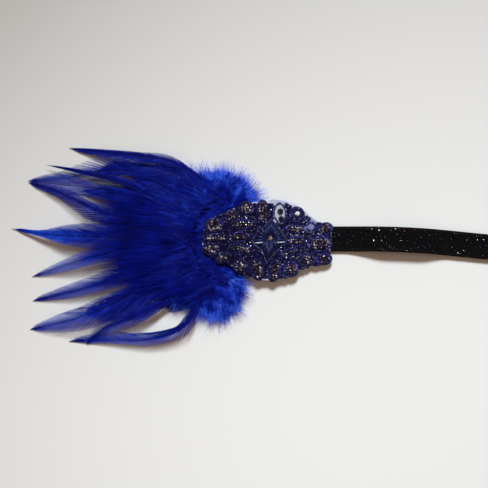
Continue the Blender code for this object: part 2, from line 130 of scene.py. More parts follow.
class Graph:
    """A node tree that is filled by one method."""

    def __init__(self, tree):
        self.tree = tree

    def find(self, sockets, key):
        """The socket in use that has this name, or this place among the sockets."""
        if isinstance(key, int):
            return sockets[key]
        return next(s for s in sockets if s.enabled and s.name == key)

    def node(self, kind, settings=None, inputs=None):
        """Adds a node: its settings first, then the values or links of its sockets."""
        node = self.tree.nodes.new(kind)
        for name, value in (settings or {}).items():
            if name == "stops":
                self.set_stops(node.color_ramp, value)
            else:
                setattr(node, name, value)
        for key, value in (inputs or {}).items():
            socket = self.find(node.inputs, key)
            if isinstance(value, Wire):
                self.tree.links.new(value.socket, socket)
            elif isinstance(value, list):
                for wire in value:
                    self.tree.links.new(wire.socket, socket)
            elif socket.type == "VECTOR" and isinstance(value, (int, float)):
                socket.default_value = (value, value, value)
            elif socket.type == "RGBA" and len(value) == 3:
                socket.default_value = (*value, 1.0)
            else:
                socket.default_value = value
        output = next((s for s in node.outputs if s.enabled), None)
        return Wire(self, node, output)

    def set_stops(self, ramp, stops):
        while len(ramp.elements) > 1:
            ramp.elements.remove(ramp.elements[-1])
        ramp.elements[0].position = stops[0][0]
        ramp.elements[0].color = (*stops[0][1], 1.0)
        for place, colour in stops[1:]:
            ramp.elements.new(place).color = (*colour, 1.0)


def new_material(name):
    material = bpy.data.materials.new(name)
    material.use_nodes = True
    material.node_tree.nodes.clear()
    return material, Graph(material.node_tree)


def mixed(g, share, first, second):
    """A colour between two colours."""
    inputs = {"Factor": share, "A": first, "B": second}
    return g.node("ShaderNodeMix", {"data_type": "RGBA"}, inputs)


def noise(g, place, size, detail=2.0, roughness=0.5):
    """Noise with features of about this size, from 0 to 1."""
    inputs = {"Vector": place, "Scale": 1 / size, "Detail": detail, "Roughness": roughness}
    return g.node("ShaderNodeTexNoise", {}, inputs)


def bumped(g, height, depth):
    """A normal for a height from 0 to 1 that stands for this depth."""
    return g.node("ShaderNodeBump", {}, {"Height": height, "Distance": depth})


def finish_material(g, inputs):
    """Ends a graph in the one shader of its surface."""
    shader = g.node("ShaderNodeBsdfPrincipled", {}, inputs)
    g.node("ShaderNodeOutputMaterial", {}, {"Surface": shader})


def object_place(g):
    return g.node("ShaderNodeTexCoord").output("Object")


def split(g, vector):
    """A node whose outputs are the vector's X, Y and Z."""
    return g.node("ShaderNodeSeparateXYZ", {}, {"Vector": vector})


def clamped(g, value, low=0.0, high=1.0):
    return g.node("ShaderNodeClamp", {}, {"Value": value, "Min": low, "Max": high})


def add_object(name, data):
    """Puts a mesh, a light or a camera into the scene."""
    item = bpy.data.objects.new(name, data)
    bpy.context.scene.collection.objects.link(item)
    return item


def add_piece(name, mesh, material=None):
    """Adds a finished mesh as a piece at the origin."""
    piece = add_object(name, mesh)
    if material:
        mesh.materials.clear()
        mesh.materials.append(material)
    return piece


def mesh_from(bm, name, smooth=True):
    """Turns a bmesh into a mesh whose faces point outwards."""
    bmesh.ops.recalc_face_normals(bm, faces=bm.faces)
    for face in bm.faces:
        face.smooth = smooth
    mesh = bpy.data.meshes.new(name)
    bm.to_mesh(mesh)
    bm.free()
    return mesh


# Painted light: the table's colour is darker towards the top left of the view and lighter towards the
# lower right, and evens out further off.
table_with_painted_light, g = new_material("pale_table_with_painted_light")
place = object_place(g)
parts = split(g, place)
across = (parts.output("X") - VIEW_MIDDLE.x) / VIEW_SPAN + 0.5
down = 0.5 - (parts.output("Y") - VIEW_MIDDLE.y) / VIEW_SPAN
across = clamped(g, across, -0.1, 1.1)
down = clamped(g, down, -0.1, 1.1)
light_share = across * (1.05 - 0.50 * across - 0.29 * down) + down * (1.41 - 0.73 * down)
light_share = clamped(g, light_share)
away = g.node("ShaderNodeVectorMath", {"operation": "LENGTH"}, {0: place}).output("Value")
beyond = g.node("ShaderNodeMapRange", {"interpolation_type": "SMOOTHERSTEP"},
                {"Value": away, "From Min": EVEN_FROM, "From Max": EVEN_BY})
light_share = light_share * (1 - beyond) + beyond * EVEN_LIGHT
finish_material(g, {
    "Base Color": mixed(g, light_share, (0.373, 0.357, 0.342), (0.757, 0.760, 0.762)),
    "Roughness": 0.62,
    "Normal": bumped(g, noise(g, place, 0.0012, 3.0), 0.00001),
})

bm = bmesh.new()
bmesh.ops.create_grid(bm, x_segments=1, y_segments=1, size=TABLE_SIZE / 2)
table = add_piece("table", mesh_from(bm, "table", smooth=False), table_with_painted_light)

sun = bpy.data.lights.new("window_light", "SUN")
sun.energy = SUN_STRENGTH
sun.color = SUN_COLOUR
sun.angle = SUN_BREADTH
add_object("window_light", sun).rotation_euler = (SUN_ELEVATION - math.pi / 2, 0, 0)

for turn, height in LAMPS:
    lamp = bpy.data.lights.new(f"lamp_{turn}", "AREA")
    lamp.energy = LAMP_POWER
    lamp.size = LAMP_SIZE
    lamp_object = add_object(f"lamp_{turn}", lamp)
    towards = Vector((0, 0, 1))
    towards.rotate(Matrix.Rotation(math.radians(90 - height), 3, "Y"))
    towards.rotate(Matrix.Rotation(math.radians(turn), 3, "Z"))
    lamp_object.location = towards * LAMP_DISTANCE
    lamp_object.rotation_euler = towards.to_track_quat("Z", "Y").to_euler()

world = bpy.data.worlds.new("room")
bpy.context.scene.world = world
world.use_nodes = True
world.node_tree.nodes.clear()
g = Graph(world.node_tree)
seen = g.node("ShaderNodeLightPath").output("Is Camera Ray")
room = g.node("ShaderNodeBackground", {}, {"Color": mixed(g, seen, ROOM_COLOUR, BACKDROP_COLOUR)})
g.node("ShaderNodeOutputWorld", {}, {"Surface": room})

camera_data = bpy.data.cameras.new("camera")
camera_data.sensor_width = SENSOR
camera_data.lens = SENSOR * CAMERA_HEIGHT / VIEW_SPAN
camera = add_object("camera", camera_data)
camera.location = (VIEW_MIDDLE.x, VIEW_MIDDLE.y, CAMERA_HEIGHT)
bpy.context.scene.camera = camera
bpy.context.scene.view_settings.view_transform = "Standard"


# Glitter elastic
# A loop of 16 mm black velvet-faced elastic with a corded edge, cut 520 mm round and sewn
# shut, that lies folded flat. It runs out of the photograph on the right.
LOOP_LENGTH = 0.520
BAND_WIDTH = 0.0160
BAND_THICKNESS = 0.0011
BAND_OFFSET = 0.0013
BAND_TURN = math.radians(5.7)
BAND_BEND_START = 0.060
BAND_BEND_LENGTH = 0.055
GAP_IN_FOLD = 0.0028
GAP_PINCHED = 0.0007
GAP_IN_ARCH = 0.0062
GAP_SETTLED = 0.0020
GAP_IN_FREE_END = 0.0056
APPLIQUE_LENGTH = 0.0850
APPLIQUE_WIDTH = 0.0536
APPLIQUE_MIDDLE_X = -0.0021
QUILL_END = -0.0130
QUILL_END_THICKNESS = 0.0010
SEAT = 0.0003
FOLD_AT = -0.43 * APPLIQUE_LENGTH
BAND_LEAVES_AT = APPLIQUE_MIDDLE_X + APPLIQUE_LENGTH / 2 + 0.001
UNDERSIDE_RIGHT = 2 * BAND_THICKNESS + GAP_PINCHED + SEAT
UNDERSIDE_AT_QUILLS = 2 * BAND_THICKNESS + GAP_IN_FOLD + QUILL_END_THICKNESS + 2 * SEAT
APPLIQUE_SLOPE = (UNDERSIDE_AT_QUILLS - UNDERSIDE_RIGHT) / (BAND_LEAVES_AT - QUILL_END)
BAND_GAPS = (
    (0.00, GAP_PINCHED),
    (0.03, GAP_PINCHED),
    (0.20, GAP_IN_ARCH),
    (0.31, GAP_IN_ARCH),
    (0.44, GAP_SETTLED),
    (0.90, GAP_SETTLED),
    (1.00, GAP_IN_FREE_END),
)
# The strip's section: shares of half its width, and of half its thickness.
BAND_SECTION = (
    (-0.97, -0.55), (-0.90, -1.0), (-0.82, -0.98), (-0.74, -0.80), (0.0, -0.78), (0.74, -0.80),
    (0.82, -0.98), (0.90, -1.0), (0.97, -0.55), (1.0, 0.0), (0.97, 0.55), (0.90, 1.0),
    (0.82, 0.98), (0.74, 0.80), (0.0, 0.78), (-0.74, 0.80), (-0.82, 0.98), (-0.90, 1.0),
    (-0.97, 0.55), (-1.0, 0.0),
)
BAND_STEP = 0.0011
FLAKE_SIZE = 0.00030
FLAKES_PER_SQUARE_METRE = 320000


def smoothstep(t):
    t = min(max(t, 0.0), 1.0)
    return t * t * (3 - 2 * t)


def between(table, t):
    """Reads a two-column table at t, easing from each row to the next."""
    for (t0, v0), (t1, v1) in zip(table, table[1:]):
        if t <= t1:
            return v0 + (v1 - v0) * smoothstep((t - t0) / (t1 - t0))
    return table[-1][1]


def band_middle(x):
    """The strip's middle line: its Y at x, and its slope there. It bends once, gently."""
    slope = -math.tan(BAND_TURN)
    past = min(max(x - BAND_BEND_START, 0.0), BAND_BEND_LENGTH)
    beyond = max(x - BAND_BEND_START - BAND_BEND_LENGTH, 0.0)
    ramp = past / BAND_BEND_LENGTH
    return BAND_OFFSET + slope * (past * ramp / 2 + beyond), slope * ramp


def applique_underside(x):
    return UNDERSIDE_RIGHT + APPLIQUE_SLOPE * (BAND_LEAVES_AT - x)


def layer_gap(x, free_end):
    if x < BAND_LEAVES_AT:
        return min(GAP_IN_FOLD, applique_underside(x) - SEAT - 2 * BAND_THICKNESS)
    return between(BAND_GAPS, (x - BAND_LEAVES_AT) / (free_end - BAND_LEAVES_AT))


def half_turn(x, gap, side):
    """The fold at one end of the loop, from the lower layer to the upper or back."""
    steps = 12
    radius = (gap + BAND_THICKNESS) / 2
    for i in range(1, steps):
        angle = side * (math.pi * i / steps - math.pi / 2)
        height = BAND_THICKNESS / 2 + radius * (1 + side * math.sin(angle))
        yield x + side * radius * math.cos(angle), height


def loop_line(free_end):
    """The middle of the strip's thickness all round the loop, as (x, z)."""
    steps = round((free_end - FOLD_AT) / BAND_STEP)
    low = BAND_THICKNESS / 2
    line = []
    for i in range(steps + 1):
        line.append((FOLD_AT + (free_end - FOLD_AT) * i / steps, low))
    line.extend(half_turn(free_end, GAP_IN_FREE_END, 1))
    for i in range(steps + 1):
        x = free_end + (FOLD_AT - free_end) * i / steps
        line.append((x, low + BAND_THICKNESS + layer_gap(x, free_end)))
    line.extend(half_turn(FOLD_AT, GAP_IN_FOLD, -1))
    return line


def line_length(line):
    total = 0.0
    for (x0, z0), (x1, z1) in zip(line, line[1:] + line[:1]):
        total += math.dist((x0, band_middle(x0)[0], z0), (x1, band_middle(x1)[0], z1))
    return total


def find_free_end():
    """Where the free fold comes, for the loop to have its cut length."""
    free_end = FOLD_AT + LOOP_LENGTH / 2
    for _ in range(6):
        free_end += (LOOP_LENGTH - line_length(loop_line(free_end))) / 2
    return free_end


def build_elastic():
    """The strip, with the distance along it and across it kept as its own UV map."""
    line = loop_line(find_free_end())
    bm = bmesh.new()
    rows = []
    run = 0.0
    runs = []
    for k, (x, z) in enumerate(line):
        before, after = line[k - 1], line[(k + 1) % len(line)]
        along = Vector((after[0] - before[0], after[1] - before[1])).normalized()
        normal = Vector((along.y, -along.x))
        row = []
        for side, face in BAND_SECTION:
            px = x + face * normal.x * BAND_THICKNESS / 2
            pz = z + face * normal.y * BAND_THICKNESS / 2
            y, slope = band_middle(px)
            out = Vector((-slope, 1)).normalized() * side * BAND_WIDTH / 2
            row.append(bm.verts.new((px + out.x, y + out.y, pz)))
        rows.append(row)
        runs.append(run)
        run += math.dist((x, z), line[(k + 1) % len(line)])
    runs.append(run)
    ways = bm.loops.layers.uv.new("strip")
    count = len(BAND_SECTION)
    for k in range(len(rows)):
        low, high = rows[k], rows[(k + 1) % len(rows)]
        for i in range(count):
            j = (i + 1) % count
            face = bm.faces.new((low[i], low[j], high[j], high[i]))
            sides = (BAND_SECTION[i][0], BAND_SECTION[j][0], BAND_SECTION[j][0], BAND_SECTION[i][0])
            ends = (runs[k], runs[k], runs[k + 1], runs[k + 1])
            for corner, side, way in zip(face.loops, sides, ends):
                corner[ways].uv = (way, side * BAND_WIDTH / 2)
    return mesh_from(bm, "elastic_strip")


def new_tree(name, sockets):
    """An empty geometry tree with named inputs, and the wires that they start from."""
    tree = bpy.data.node_groups.new(name, "GeometryNodeTree")
    tree.interface.new_socket("Geometry", in_out="INPUT", socket_type="NodeSocketGeometry")
    tree.interface.new_socket("Geometry", in_out="OUTPUT", socket_type="NodeSocketGeometry")
    for socket_name, kind in sockets.items():
        tree.interface.new_socket(socket_name, in_out="INPUT", socket_type="NodeSocket" + kind)
    g = Graph(tree)
    start = g.node("NodeGroupInput")
    return tree, g, {name: start.output(name) for name in ("Geometry", *sockets)}


def realized(g, geometry):
    return g.node("GeometryNodeRealizeInstances", {}, {"Geometry": geometry})


def painted(g, geometry, material):
    return g.node("GeometryNodeSetMaterial", {}, {"Geometry": geometry, "Material": material})


def end_tree(g, geometry):
    g.node("NodeGroupOutput", {"is_active_output": True}, {"Geometry": geometry})


def kept(g, geometry, name, kind, value):
    """Keeps a value on the geometry under a name that the materials can read."""
    settings = {"data_type": kind, "domain": "POINT"}
    return g.node("GeometryNodeStoreNamedAttribute", settings,
                  {"Geometry": geometry, "Name": name, "Value": value})


def named(g, name, kind="FLOAT"):
    return g.node("GeometryNodeInputNamedAttribute", {"data_type": kind}, {"Name": name})


def joined(g, x, y, z):
    """A vector from its three parts."""
    return g.node("ShaderNodeCombineXYZ", {}, {"X": x, "Y": y, "Z": z})


def chance(g, low, high, seed, kind="FLOAT"):
    """A random number, or a random vector, from low to high."""
    inputs = {"Min": low, "Max": high, "Seed": seed}
    return g.node("FunctionNodeRandomValue", {"data_type": kind}, inputs)


def set_out(g, points, thing, turn, smallest, largest, seed):
    """A copy of thing on every point, each with a size and a tint of its own."""
    copies = g.node("GeometryNodeInstanceOnPoints", {}, {
        "Points": points, "Instance": thing, "Rotation": turn,
        "Scale": chance(g, smallest, largest, seed),
    })
    settings = {"data_type": "FLOAT", "domain": "INSTANCE"}
    copies = g.node("GeometryNodeStoreNamedAttribute", settings,
                    {"Geometry": copies, "Name": "tint", "Value": chance(g, 0.0, 1.0, 3)})
    return realized(g, copies)


def carried(g, name):
    """A number that the mesh carries for its material."""
    return g.node("ShaderNodeAttribute", {"attribute_name": name}).output("Fac")


def coloured(g, share, stops):
    """The colour at a share, from 0 to 1, of the way along these stops."""
    return g.node("ShaderNodeValToRGB", {"stops": stops}, {"Fac": share})


def grow(name, mesh, tree, values):
    """Runs a tree on a mesh with these inputs, and gives what it makes as a plain piece."""
    piece = add_piece(name, mesh)
    modifier = piece.modifiers.new(tree.name, "NODES")
    modifier.node_group = tree
    for item in tree.interface.items_tree:
        if item.in_out == "INPUT" and item.name in values:
            modifier[item.identifier] = values[item.name]
    depsgraph = bpy.context.evaluated_depsgraph_get()
    result = bpy.data.meshes.new_from_object(
        piece.evaluated_get(depsgraph), preserve_all_data_layers=True, depsgraph=depsgraph)
    piece.modifiers.remove(modifier)
    piece.data = result
    return piece


elastic_cloth, g = new_material("black_velvet_elastic")
strip = g.node("ShaderNodeUVMap", {"uv_map": "strip"})
parts = split(g, strip)
pile = noise(g, object_place(g), 0.00035, 3.0, 0.7)
patches = noise(g, object_place(g), 0.006, 2.0)
cord_rows = g.node("ShaderNodeMath", {"operation": "SINE"}, {0: parts.output("X") * 7000})
edge = abs(parts.output("Y")) > BAND_WIDTH / 2 * 0.78
depth = pile * 0.8 + cord_rows * 0.1 * (1 - edge)
nap = mixed(g, pile * 0.7 + patches * 0.3, (0.0006, 0.0007, 0.0009), (0.0042, 0.0045, 0.0056))
finish_material(g, {
    "Base Color": mixed(g, edge * 0.35, nap, (0.010, 0.007, 0.007)),
    "Roughness": 0.9,
    "Specular IOR Level": 0.06,
    "Normal": bumped(g, depth, 0.0002),
})

glitter, g = new_material("glitter_flakes")
finish_material(g, {
    "Base Color": coloured(g, carried(g, "tint"), (
        (0.00, (0.02, 0.02, 0.03)), (0.50, (0.07, 0.08, 0.10)), (0.66, (0.06, 0.14, 0.34)),
        (0.78, (0.50, 0.22, 0.08)), (0.88, (0.55, 0.55, 0.60)), (1.00, (1.00, 0.98, 0.95)),
    )),
    "Metallic": 0.85,
    "Roughness": 0.32,
})

flake_tree, g, start = new_tree("glitter", {
    "Flakes Per Square Metre": "Float", "Flake Size": "Float", "Seed": "Int", "Flake": "Material",
})
height = split(g, g.node("GeometryNodeInputPosition")).output("Z")
points = g.node("GeometryNodeDistributePointsOnFaces", {"distribute_method": "RANDOM"}, {
    "Mesh": start["Geometry"], "Seed": start["Seed"],
    "Density": start["Flakes Per Square Metre"] * (height > 0.0003),
})
normal = points.output("Normal")
luck = chance(g, (-0.55, -0.55, 0.0), (0.55, 0.55, 6.28), start["Seed"], "FLOAT_VECTOR")
upright = g.node("FunctionNodeAlignRotationToVector", {"axis": "Z"}, {"Vector": normal})
turned = g.node("FunctionNodeRotateRotation", {"rotation_space": "LOCAL"},
                {"Rotation": upright, "Rotate By": luck})
raised = g.node("GeometryNodeSetPosition", {}, {
    "Geometry": points, "Offset": normal * (start["Flake Size"] * 0.12),
})
flake = g.node("GeometryNodeMeshCircle", {"fill_type": "NGON"},
               {"Vertices": 5, "Radius": start["Flake Size"] / 2})
whole = set_out(g, raised, flake, turned, 0.5, 1.25, 7)
end_tree(g, painted(g, whole, start["Flake"]))

elastic = add_piece("elastic_strip", build_elastic(), elastic_cloth)
flakes = grow("elastic_glitter", elastic.data.copy(), flake_tree, {
    "Flakes Per Square Metre": FLAKES_PER_SQUARE_METRE, "Flake Size": FLAKE_SIZE, "Seed": 11,
    "Flake": glitter,
})
for piece in (elastic, flakes):
    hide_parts("elastic_band")
    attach(piece, "root")


# Net ground
# A piece of stiffened pale lilac net, cut round the beadwork. It slopes down from the quills
# on the left to the elastic on the right, to which it is glued. Its lilac is painted darker as
# shade from the plume, and darker and bluer inside the open loop at the right as painted shade
# and a painted blue reflection.
GROUND_THICKNESS = 0.0010
NET_LIFT = 0.0001
NET_HOLE = 0.0009
NET_TRIMMED = 0.0016
NET_SHOWING = 0.0014
NET_EDGE = 0.0003
LOOP_SHADE_RADIUS = 0.0065
LOOP_SHADE_FADE = 0.0030
RIGHT_LOOP = (0.655, 0.345)
GROUND_OUTLINE = (
    (1.00, 0.02), (0.99, 0.30), (0.91, 0.42), (0.78, 0.45), (0.68, 0.56), (0.52, 0.77),
    (0.35, 0.92), (0.09, 1.00), (-0.07, 0.99), (-0.26, 0.96), (-0.43, 0.88), (-0.63, 0.71),
    (-0.83, 0.57), (-0.95, 0.36), (-1.00, 0.02), (-0.97, -0.26), (-0.85, -0.40),
    (-0.63, -0.55), (-0.37, -0.82), (-0.08, -0.98), (0.13, -0.98), (0.36, -0.90),
    (0.50, -0.76), (0.72, -0.62), (0.93, -0.55), (0.98, -0.30),
)
APPLIQUE_PLACE = Matrix.Translation((0, 0, applique_underside(0))) @ Matrix.Rotation(
    math.atan(APPLIQUE_SLOPE), 4, "Y")


def spline_point(p0, p1, p2, p3, t):
    """A point of the Catmull-Rom curve between p1 and p2."""
    return 0.5 * (
        2 * p1
        + (p2 - p0) * t
        + (2 * p0 - 5 * p1 + 4 * p2 - p3) * t**2
        + (3 * p1 - p0 - 3 * p2 + p3) * t**3
    )


def closed_curve(points, count):
    """count points round the closed curve through points."""
    points = [Vector(p) for p in points]
    n = len(points)
    curve = []
    for i in range(count):
        place = n * i / count
        k = int(place)
        corners = [points[(k + j) % n] for j in (-1, 0, 1, 2)]
        curve.append(spline_point(*corners, place - k))
    return curve


def on_applique(u, v):
    """The place on the applique of shares of half its length and width."""
    return Vector((APPLIQUE_MIDDLE_X + u * APPLIQUE_LENGTH / 2, v * APPLIQUE_WIDTH / 2))


def outline_area(outline):
    turns = zip(outline, outline[1:] + outline[:1])
    return sum(a.x * b.y - b.x * a.y for a, b in turns) / 2


def add_wall(bm, rings):
    """Faces from each ring of vertices to the next."""
    for low, high in zip(rings, rings[1:]):
        for i in range(len(low)):
            j = (i + 1) % len(low)
            bm.faces.new((low[i], low[j], high[j], high[i]))


def add_skin(bm, rings):
    """Joins rings of equally many points on the applique into a closed skin with flat caps."""
    rows = []
    for ring in rings:
        rows.append([bm.verts.new(APPLIQUE_PLACE @ p) for p in ring])
    add_wall(bm, rows)
    bm.faces.new(rows[0][::-1])
    bm.faces.new(rows[-1])


def drawn_in(outline, inset, z):
    """An outline at height z, drawn in by inset towards its middle."""
    middle = sum(outline, Vector((0, 0))) / len(outline)
    ring = []
    for p in outline:
        away = p - middle
        p = middle + away * (1 - inset / away.length)
        ring.append(Vector((p.x, p.y, z)))
    return ring


net, g = new_material("stiffened_lilac_net")
place = object_place(g)
cells = g.node("ShaderNodeTexVoronoi", {"feature": "DISTANCE_TO_EDGE"},
               {"Vector": place, "Scale": 1 / NET_HOLE, "Randomness": 0.25})
thread = cells < 0.12
soft = noise(g, place, 0.004, 3.0)
# Painted shade and a painted blue reflection: the net is darker and bluer inside the open loop at the
# right.
loop = APPLIQUE_PLACE @ on_applique(*RIGHT_LOOP).to_3d()
from_loop = g.node("ShaderNodeVectorMath", {"operation": "DISTANCE"}, {0: place, 1: tuple(loop)})
shaded = clamped(g, (LOOP_SHADE_RADIUS - from_loop.output("Value")) / LOOP_SHADE_FADE)
# Painted shade: the net's lilac is darker than the net itself, for the plume's shadow over it.
plain_net = mixed(g, thread * 0.6 + soft * 0.3, (0.29, 0.31, 0.50), (0.63, 0.66, 0.82))
finish_material(g, {
    "Base Color": mixed(g, shaded, plain_net, (0.16, 0.18, 0.36)),
    "Roughness": 0.42,
    "Normal": bumped(g, thread, 0.00008),
})


def trimmed(p):
    """How far the net is cut back at p: close to the beads, save at the upper right."""
    upper_right = smoothstep((p.x + 0.006) / 0.010) * smoothstep((p.y - 0.002) / 0.010)
    return NET_TRIMMED - NET_SHOWING * upper_right


ground_outline = closed_curve([on_applique(u, v) for u, v in GROUND_OUTLINE], 156)
ground_outline = [p * (1 - trimmed(p) / p.length) for p in ground_outline]
bm = bmesh.new()
add_skin(bm, [
    drawn_in(ground_outline, NET_EDGE, NET_LIFT),
    drawn_in(ground_outline, 0.0, NET_LIFT + NET_EDGE),
    drawn_in(ground_outline, 0.0, GROUND_THICKNESS - NET_EDGE),
    drawn_in(ground_outline, NET_EDGE, GROUND_THICKNESS),
])
ground = add_piece("net_ground_cloth", mesh_from(bm, "net_ground_cloth", smooth=False), net)
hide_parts("net_ground")
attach(ground, "root")
outline_area(ground_outline)


# Bead clusters
# Twenty-four small lobes, each a pad of dark thread with cut beads sewn inside a string of
# seed beads. Loose seed beads fill the spaces between the lobes.
PAD_THICKNESS = 0.0005
SEED_WIDTH = 0.00125
SEED_LENGTH = 0.00100
SEED_PITCH = 0.00114
CUT_BEAD_WIDTH = 0.00200
CUT_BEAD_PITCH = 0.00176
SPACE_PITCH = 0.00125
SPACE_PAD_WIDTH = 0.00240
PAD_EDGE = 0.0003
PAD_SUNK = 0.0001
CUT_BEAD_PLAY = 0.00016
SPACE_BEAD_PLAY = 0.0002
PETAL_CLEARANCE = 0.0014
# The last column says what is sewn inside the rim: cut beads, seed beads, or nothing.
CLUSTER_COLUMNS = ("name", "u", "v", "half_u", "half_v", "turn", "beads")
CLUSTERS = (
    ("end_left_upper", -0.790, 0.370, 0.140, 0.170, 10, "cut"),
    ("end_left_middle", -0.765, 0.085, 0.200, 0.098, 0, "cut"),
    ("end_left_lower", -0.835, -0.190, 0.128, 0.150, -8, "cut"),
    ("shoulder_left_upper", -0.545, 0.600, 0.096, 0.130, 25, "cut"),
    ("round_left_upper", -0.310, 0.755, 0.112, 0.175, 0, "cut"),
    ("tall_left_upper", -0.065, 0.700, 0.092, 0.262, 2, "cut"),
    ("row_left_upper", -0.355, 0.400, 0.195, 0.115, 0, "cut"),
    ("inner_left", -0.400, 0.100, 0.138, 0.125, 0, "cut"),
    ("row_left_lower", -0.395, -0.185, 0.185, 0.108, -12, "cut"),
    ("shoulder_left_lower", -0.650, -0.390, 0.118, 0.115, 30, "cut"),
    ("round_left_lower", -0.395, -0.590, 0.112, 0.165, 0, "cut"),
    ("tall_left_lower", -0.150, -0.665, 0.098, 0.262, 12, "cut"),
    ("tall_right_upper", 0.190, 0.665, 0.108, 0.262, 4, ""),
    ("round_right_upper", 0.445, 0.615, 0.112, 0.185, 0, "seed"),
    ("loop_right", 0.655, 0.345, 0.084, 0.135, 0, ""),
    ("end_right_upper", 0.872, 0.290, 0.110, 0.135, 15, "cut"),
    ("row_right_upper", 0.410, 0.280, 0.140, 0.105, -5, "cut"),
    ("inner_right", 0.440, -0.010, 0.132, 0.125, 0, "cut"),
    ("end_right_middle", 0.785, -0.070, 0.180, 0.185, 0, "cut"),
    ("end_right_lower", 0.855, -0.430, 0.115, 0.130, 8, "cut"),
    ("shoulder_right_lower", 0.600, -0.440, 0.122, 0.140, -15, "cut"),
    ("row_right_lower", 0.320, -0.280, 0.140, 0.088, 20, "cut"),
    ("round_right_lower", 0.358, -0.660, 0.112, 0.185, 0, "cut"),
    ("tall_right_lower", 0.110, -0.700, 0.094, 0.262, -15, "cut"),
)
CENTRE_U, CENTRE_V = 0.052, 0.050
PETALS = (
    ("petal_upper", 0.066, 0.480, 0.105),
    ("petal_left", -0.205, 0.000, 0.170),
    ("petal_lower", -0.005, -0.480, 0.078),
    ("petal_right", 0.267, 0.020, 0.150),
)


def spoke(share):
    """The point of the unit circle at a share of the way round it."""
    return Vector((math.cos(math.tau * share), math.sin(math.tau * share)))


def cluster_halves(cluster, change):
    """Half a cluster's length and width with this much added to each."""
    half_u = cluster["half_u"] * APPLIQUE_LENGTH / 2 + change
    return half_u, cluster["half_v"] * APPLIQUE_WIDTH / 2 + change


def cluster_ellipse(cluster, inset, count):
    """Points round a cluster's outline, drawn in by inset."""
    half_u, half_v = cluster_halves(cluster, -inset)
    middle = on_applique(cluster["u"], cluster["v"])
    turn = Matrix.Rotation(math.radians(cluster["turn"]), 2)
    outline = []
    for i in range(count):
        out = spoke(i / count)
        outline.append(middle + turn @ Vector((half_u * out.x, half_v * out.y)))
    return outline


def inside_cluster(cluster, p, margin):
    """Whether p lies inside a cluster's outline grown by margin."""
    half_u, half_v = cluster_halves(cluster, margin)
    turn = Matrix.Rotation(-math.radians(cluster["turn"]), 2)
    local = turn @ (p - on_applique(cluster["u"], cluster["v"]))
    return half_u > 0 and half_v > 0 and (local.x / half_u) ** 2 + (local.y / half_v) ** 2 < 1


def inside_outline(outline, p):
    """Whether p lies inside a closed outline."""
    inside = False
    for a, b in zip(outline, outline[1:] + outline[:1]):
        if (a.y > p.y) != (b.y > p.y) and p.x < (b.x - a.x) * (p.y - a.y) / (b.y - a.y) + a.x:
            inside = not inside
    return inside


def petal_corners(tip_u, tip_v, half_width, grow_by):
    """A petal's kite: start, one side, tip, other side."""
    centre = on_applique(CENTRE_U, CENTRE_V)
    tip = on_applique(tip_u, tip_v)
    along = (tip - centre).normalized()
    across = Vector((-along.y, along.x)) * (half_width * APPLIQUE_LENGTH / 2 + grow_by)
    widest = centre.lerp(tip, 0.52)
    start = centre + along * 0.0016
    return [start, widest - across, tip + along * grow_by, widest + across]


def line_mesh(name, strings):
    """A mesh of strings, each a list of points and whether it closes."""
    bm = bmesh.new()
    for string, closes in strings:
        verts = [bm.verts.new(p) for p in string]
        for a, b in zip(verts, verts[1:] + (verts[:1] if closes else [])):
            bm.edges.new((a, b))
    mesh = bpy.data.meshes.new(name)
    bm.to_mesh(mesh)
    bm.free()
    return mesh


def sewn(p, height):
    """A place in the applique's plane at a height over the net, in the scene."""
    return APPLIQUE_PLACE @ Vector((p.x, p.y, GROUND_THICKNESS + height))


def circle(g, sides, radius):
    inputs = {"Resolution": sides, "Radius": radius}
    return g.node("GeometryNodeCurvePrimitiveCircle", {"mode": "RADIUS"}, inputs)


string_tree, g, start = new_tree("strung_beads", {
    "Bead Width": "Float", "Bead Length": "Float", "Pitch": "Float", "Unevenness": "Float",
    "Seed": "Int", "Bead": "Material",
})
strings = g.node("GeometryNodeMeshToCurve", {}, {"Mesh": start["Geometry"]})
strings = g.node("GeometryNodeResampleCurve", {"mode": "LENGTH"},
                 {"Curve": strings, "Length": start["Pitch"]})
luck = chance(g, -1.0, 1.0, start["Seed"], "FLOAT_VECTOR")
strings = g.node("GeometryNodeSetPosition", {},
                 {"Geometry": strings, "Offset": luck * start["Unevenness"]})
tangent = g.node("GeometryNodeInputTangent")
tilt = g.node("FunctionNodeAlignRotationToVector", {"axis": "Z"}, {"Vector": tangent + luck * 0.22})
tube = start["Bead Width"] * 0.235
ring = circle(g, 9, start["Bead Width"] / 2 - tube)
bead = g.node("GeometryNodeCurveToMesh", {}, {"Curve": ring, "Profile Curve": circle(g, 6, tube)})
length_share = start["Bead Length"] / (tube * 2)
stretch = joined(g, 1.0, 1.0, length_share)
bead = g.node("GeometryNodeTransform", {}, {"Geometry": bead, "Scale": stretch})
beads = set_out(g, strings, bead, tilt, 0.88, 1.08, 5)
whole = g.node("GeometryNodeSetShadeSmooth", {}, {"Geometry": beads})
end_tree(g, painted(g, whole, start["Bead"]))

set_tree, g, start = new_tree("beads_sewn_one_by_one", {
    "Bead Width": "Float", "Flatness": "Float", "Sides": "Int", "Levels": "Int",
    "Tilt": "Float", "Seed": "Int", "Bead": "Material",
})
points = g.node("GeometryNodeMeshToPoints", {}, {"Mesh": start["Geometry"]})
bead = g.node("GeometryNodeMeshUVSphere", {}, {
    "Segments": start["Sides"], "Rings": start["Levels"], "Radius": start["Bead Width"] / 2,
})
stretch = joined(g, 1.0, 1.0, start["Flatness"])
bead = g.node("GeometryNodeTransform", {}, {"Geometry": bead, "Scale": stretch})
turn = chance(g, -1.0, 1.0, start["Seed"], "FLOAT_VECTOR")
turn = turn * joined(g, start["Tilt"], start["Tilt"], 3.142)
beads = set_out(g, points, bead, turn, 0.82, 1.1, 5)
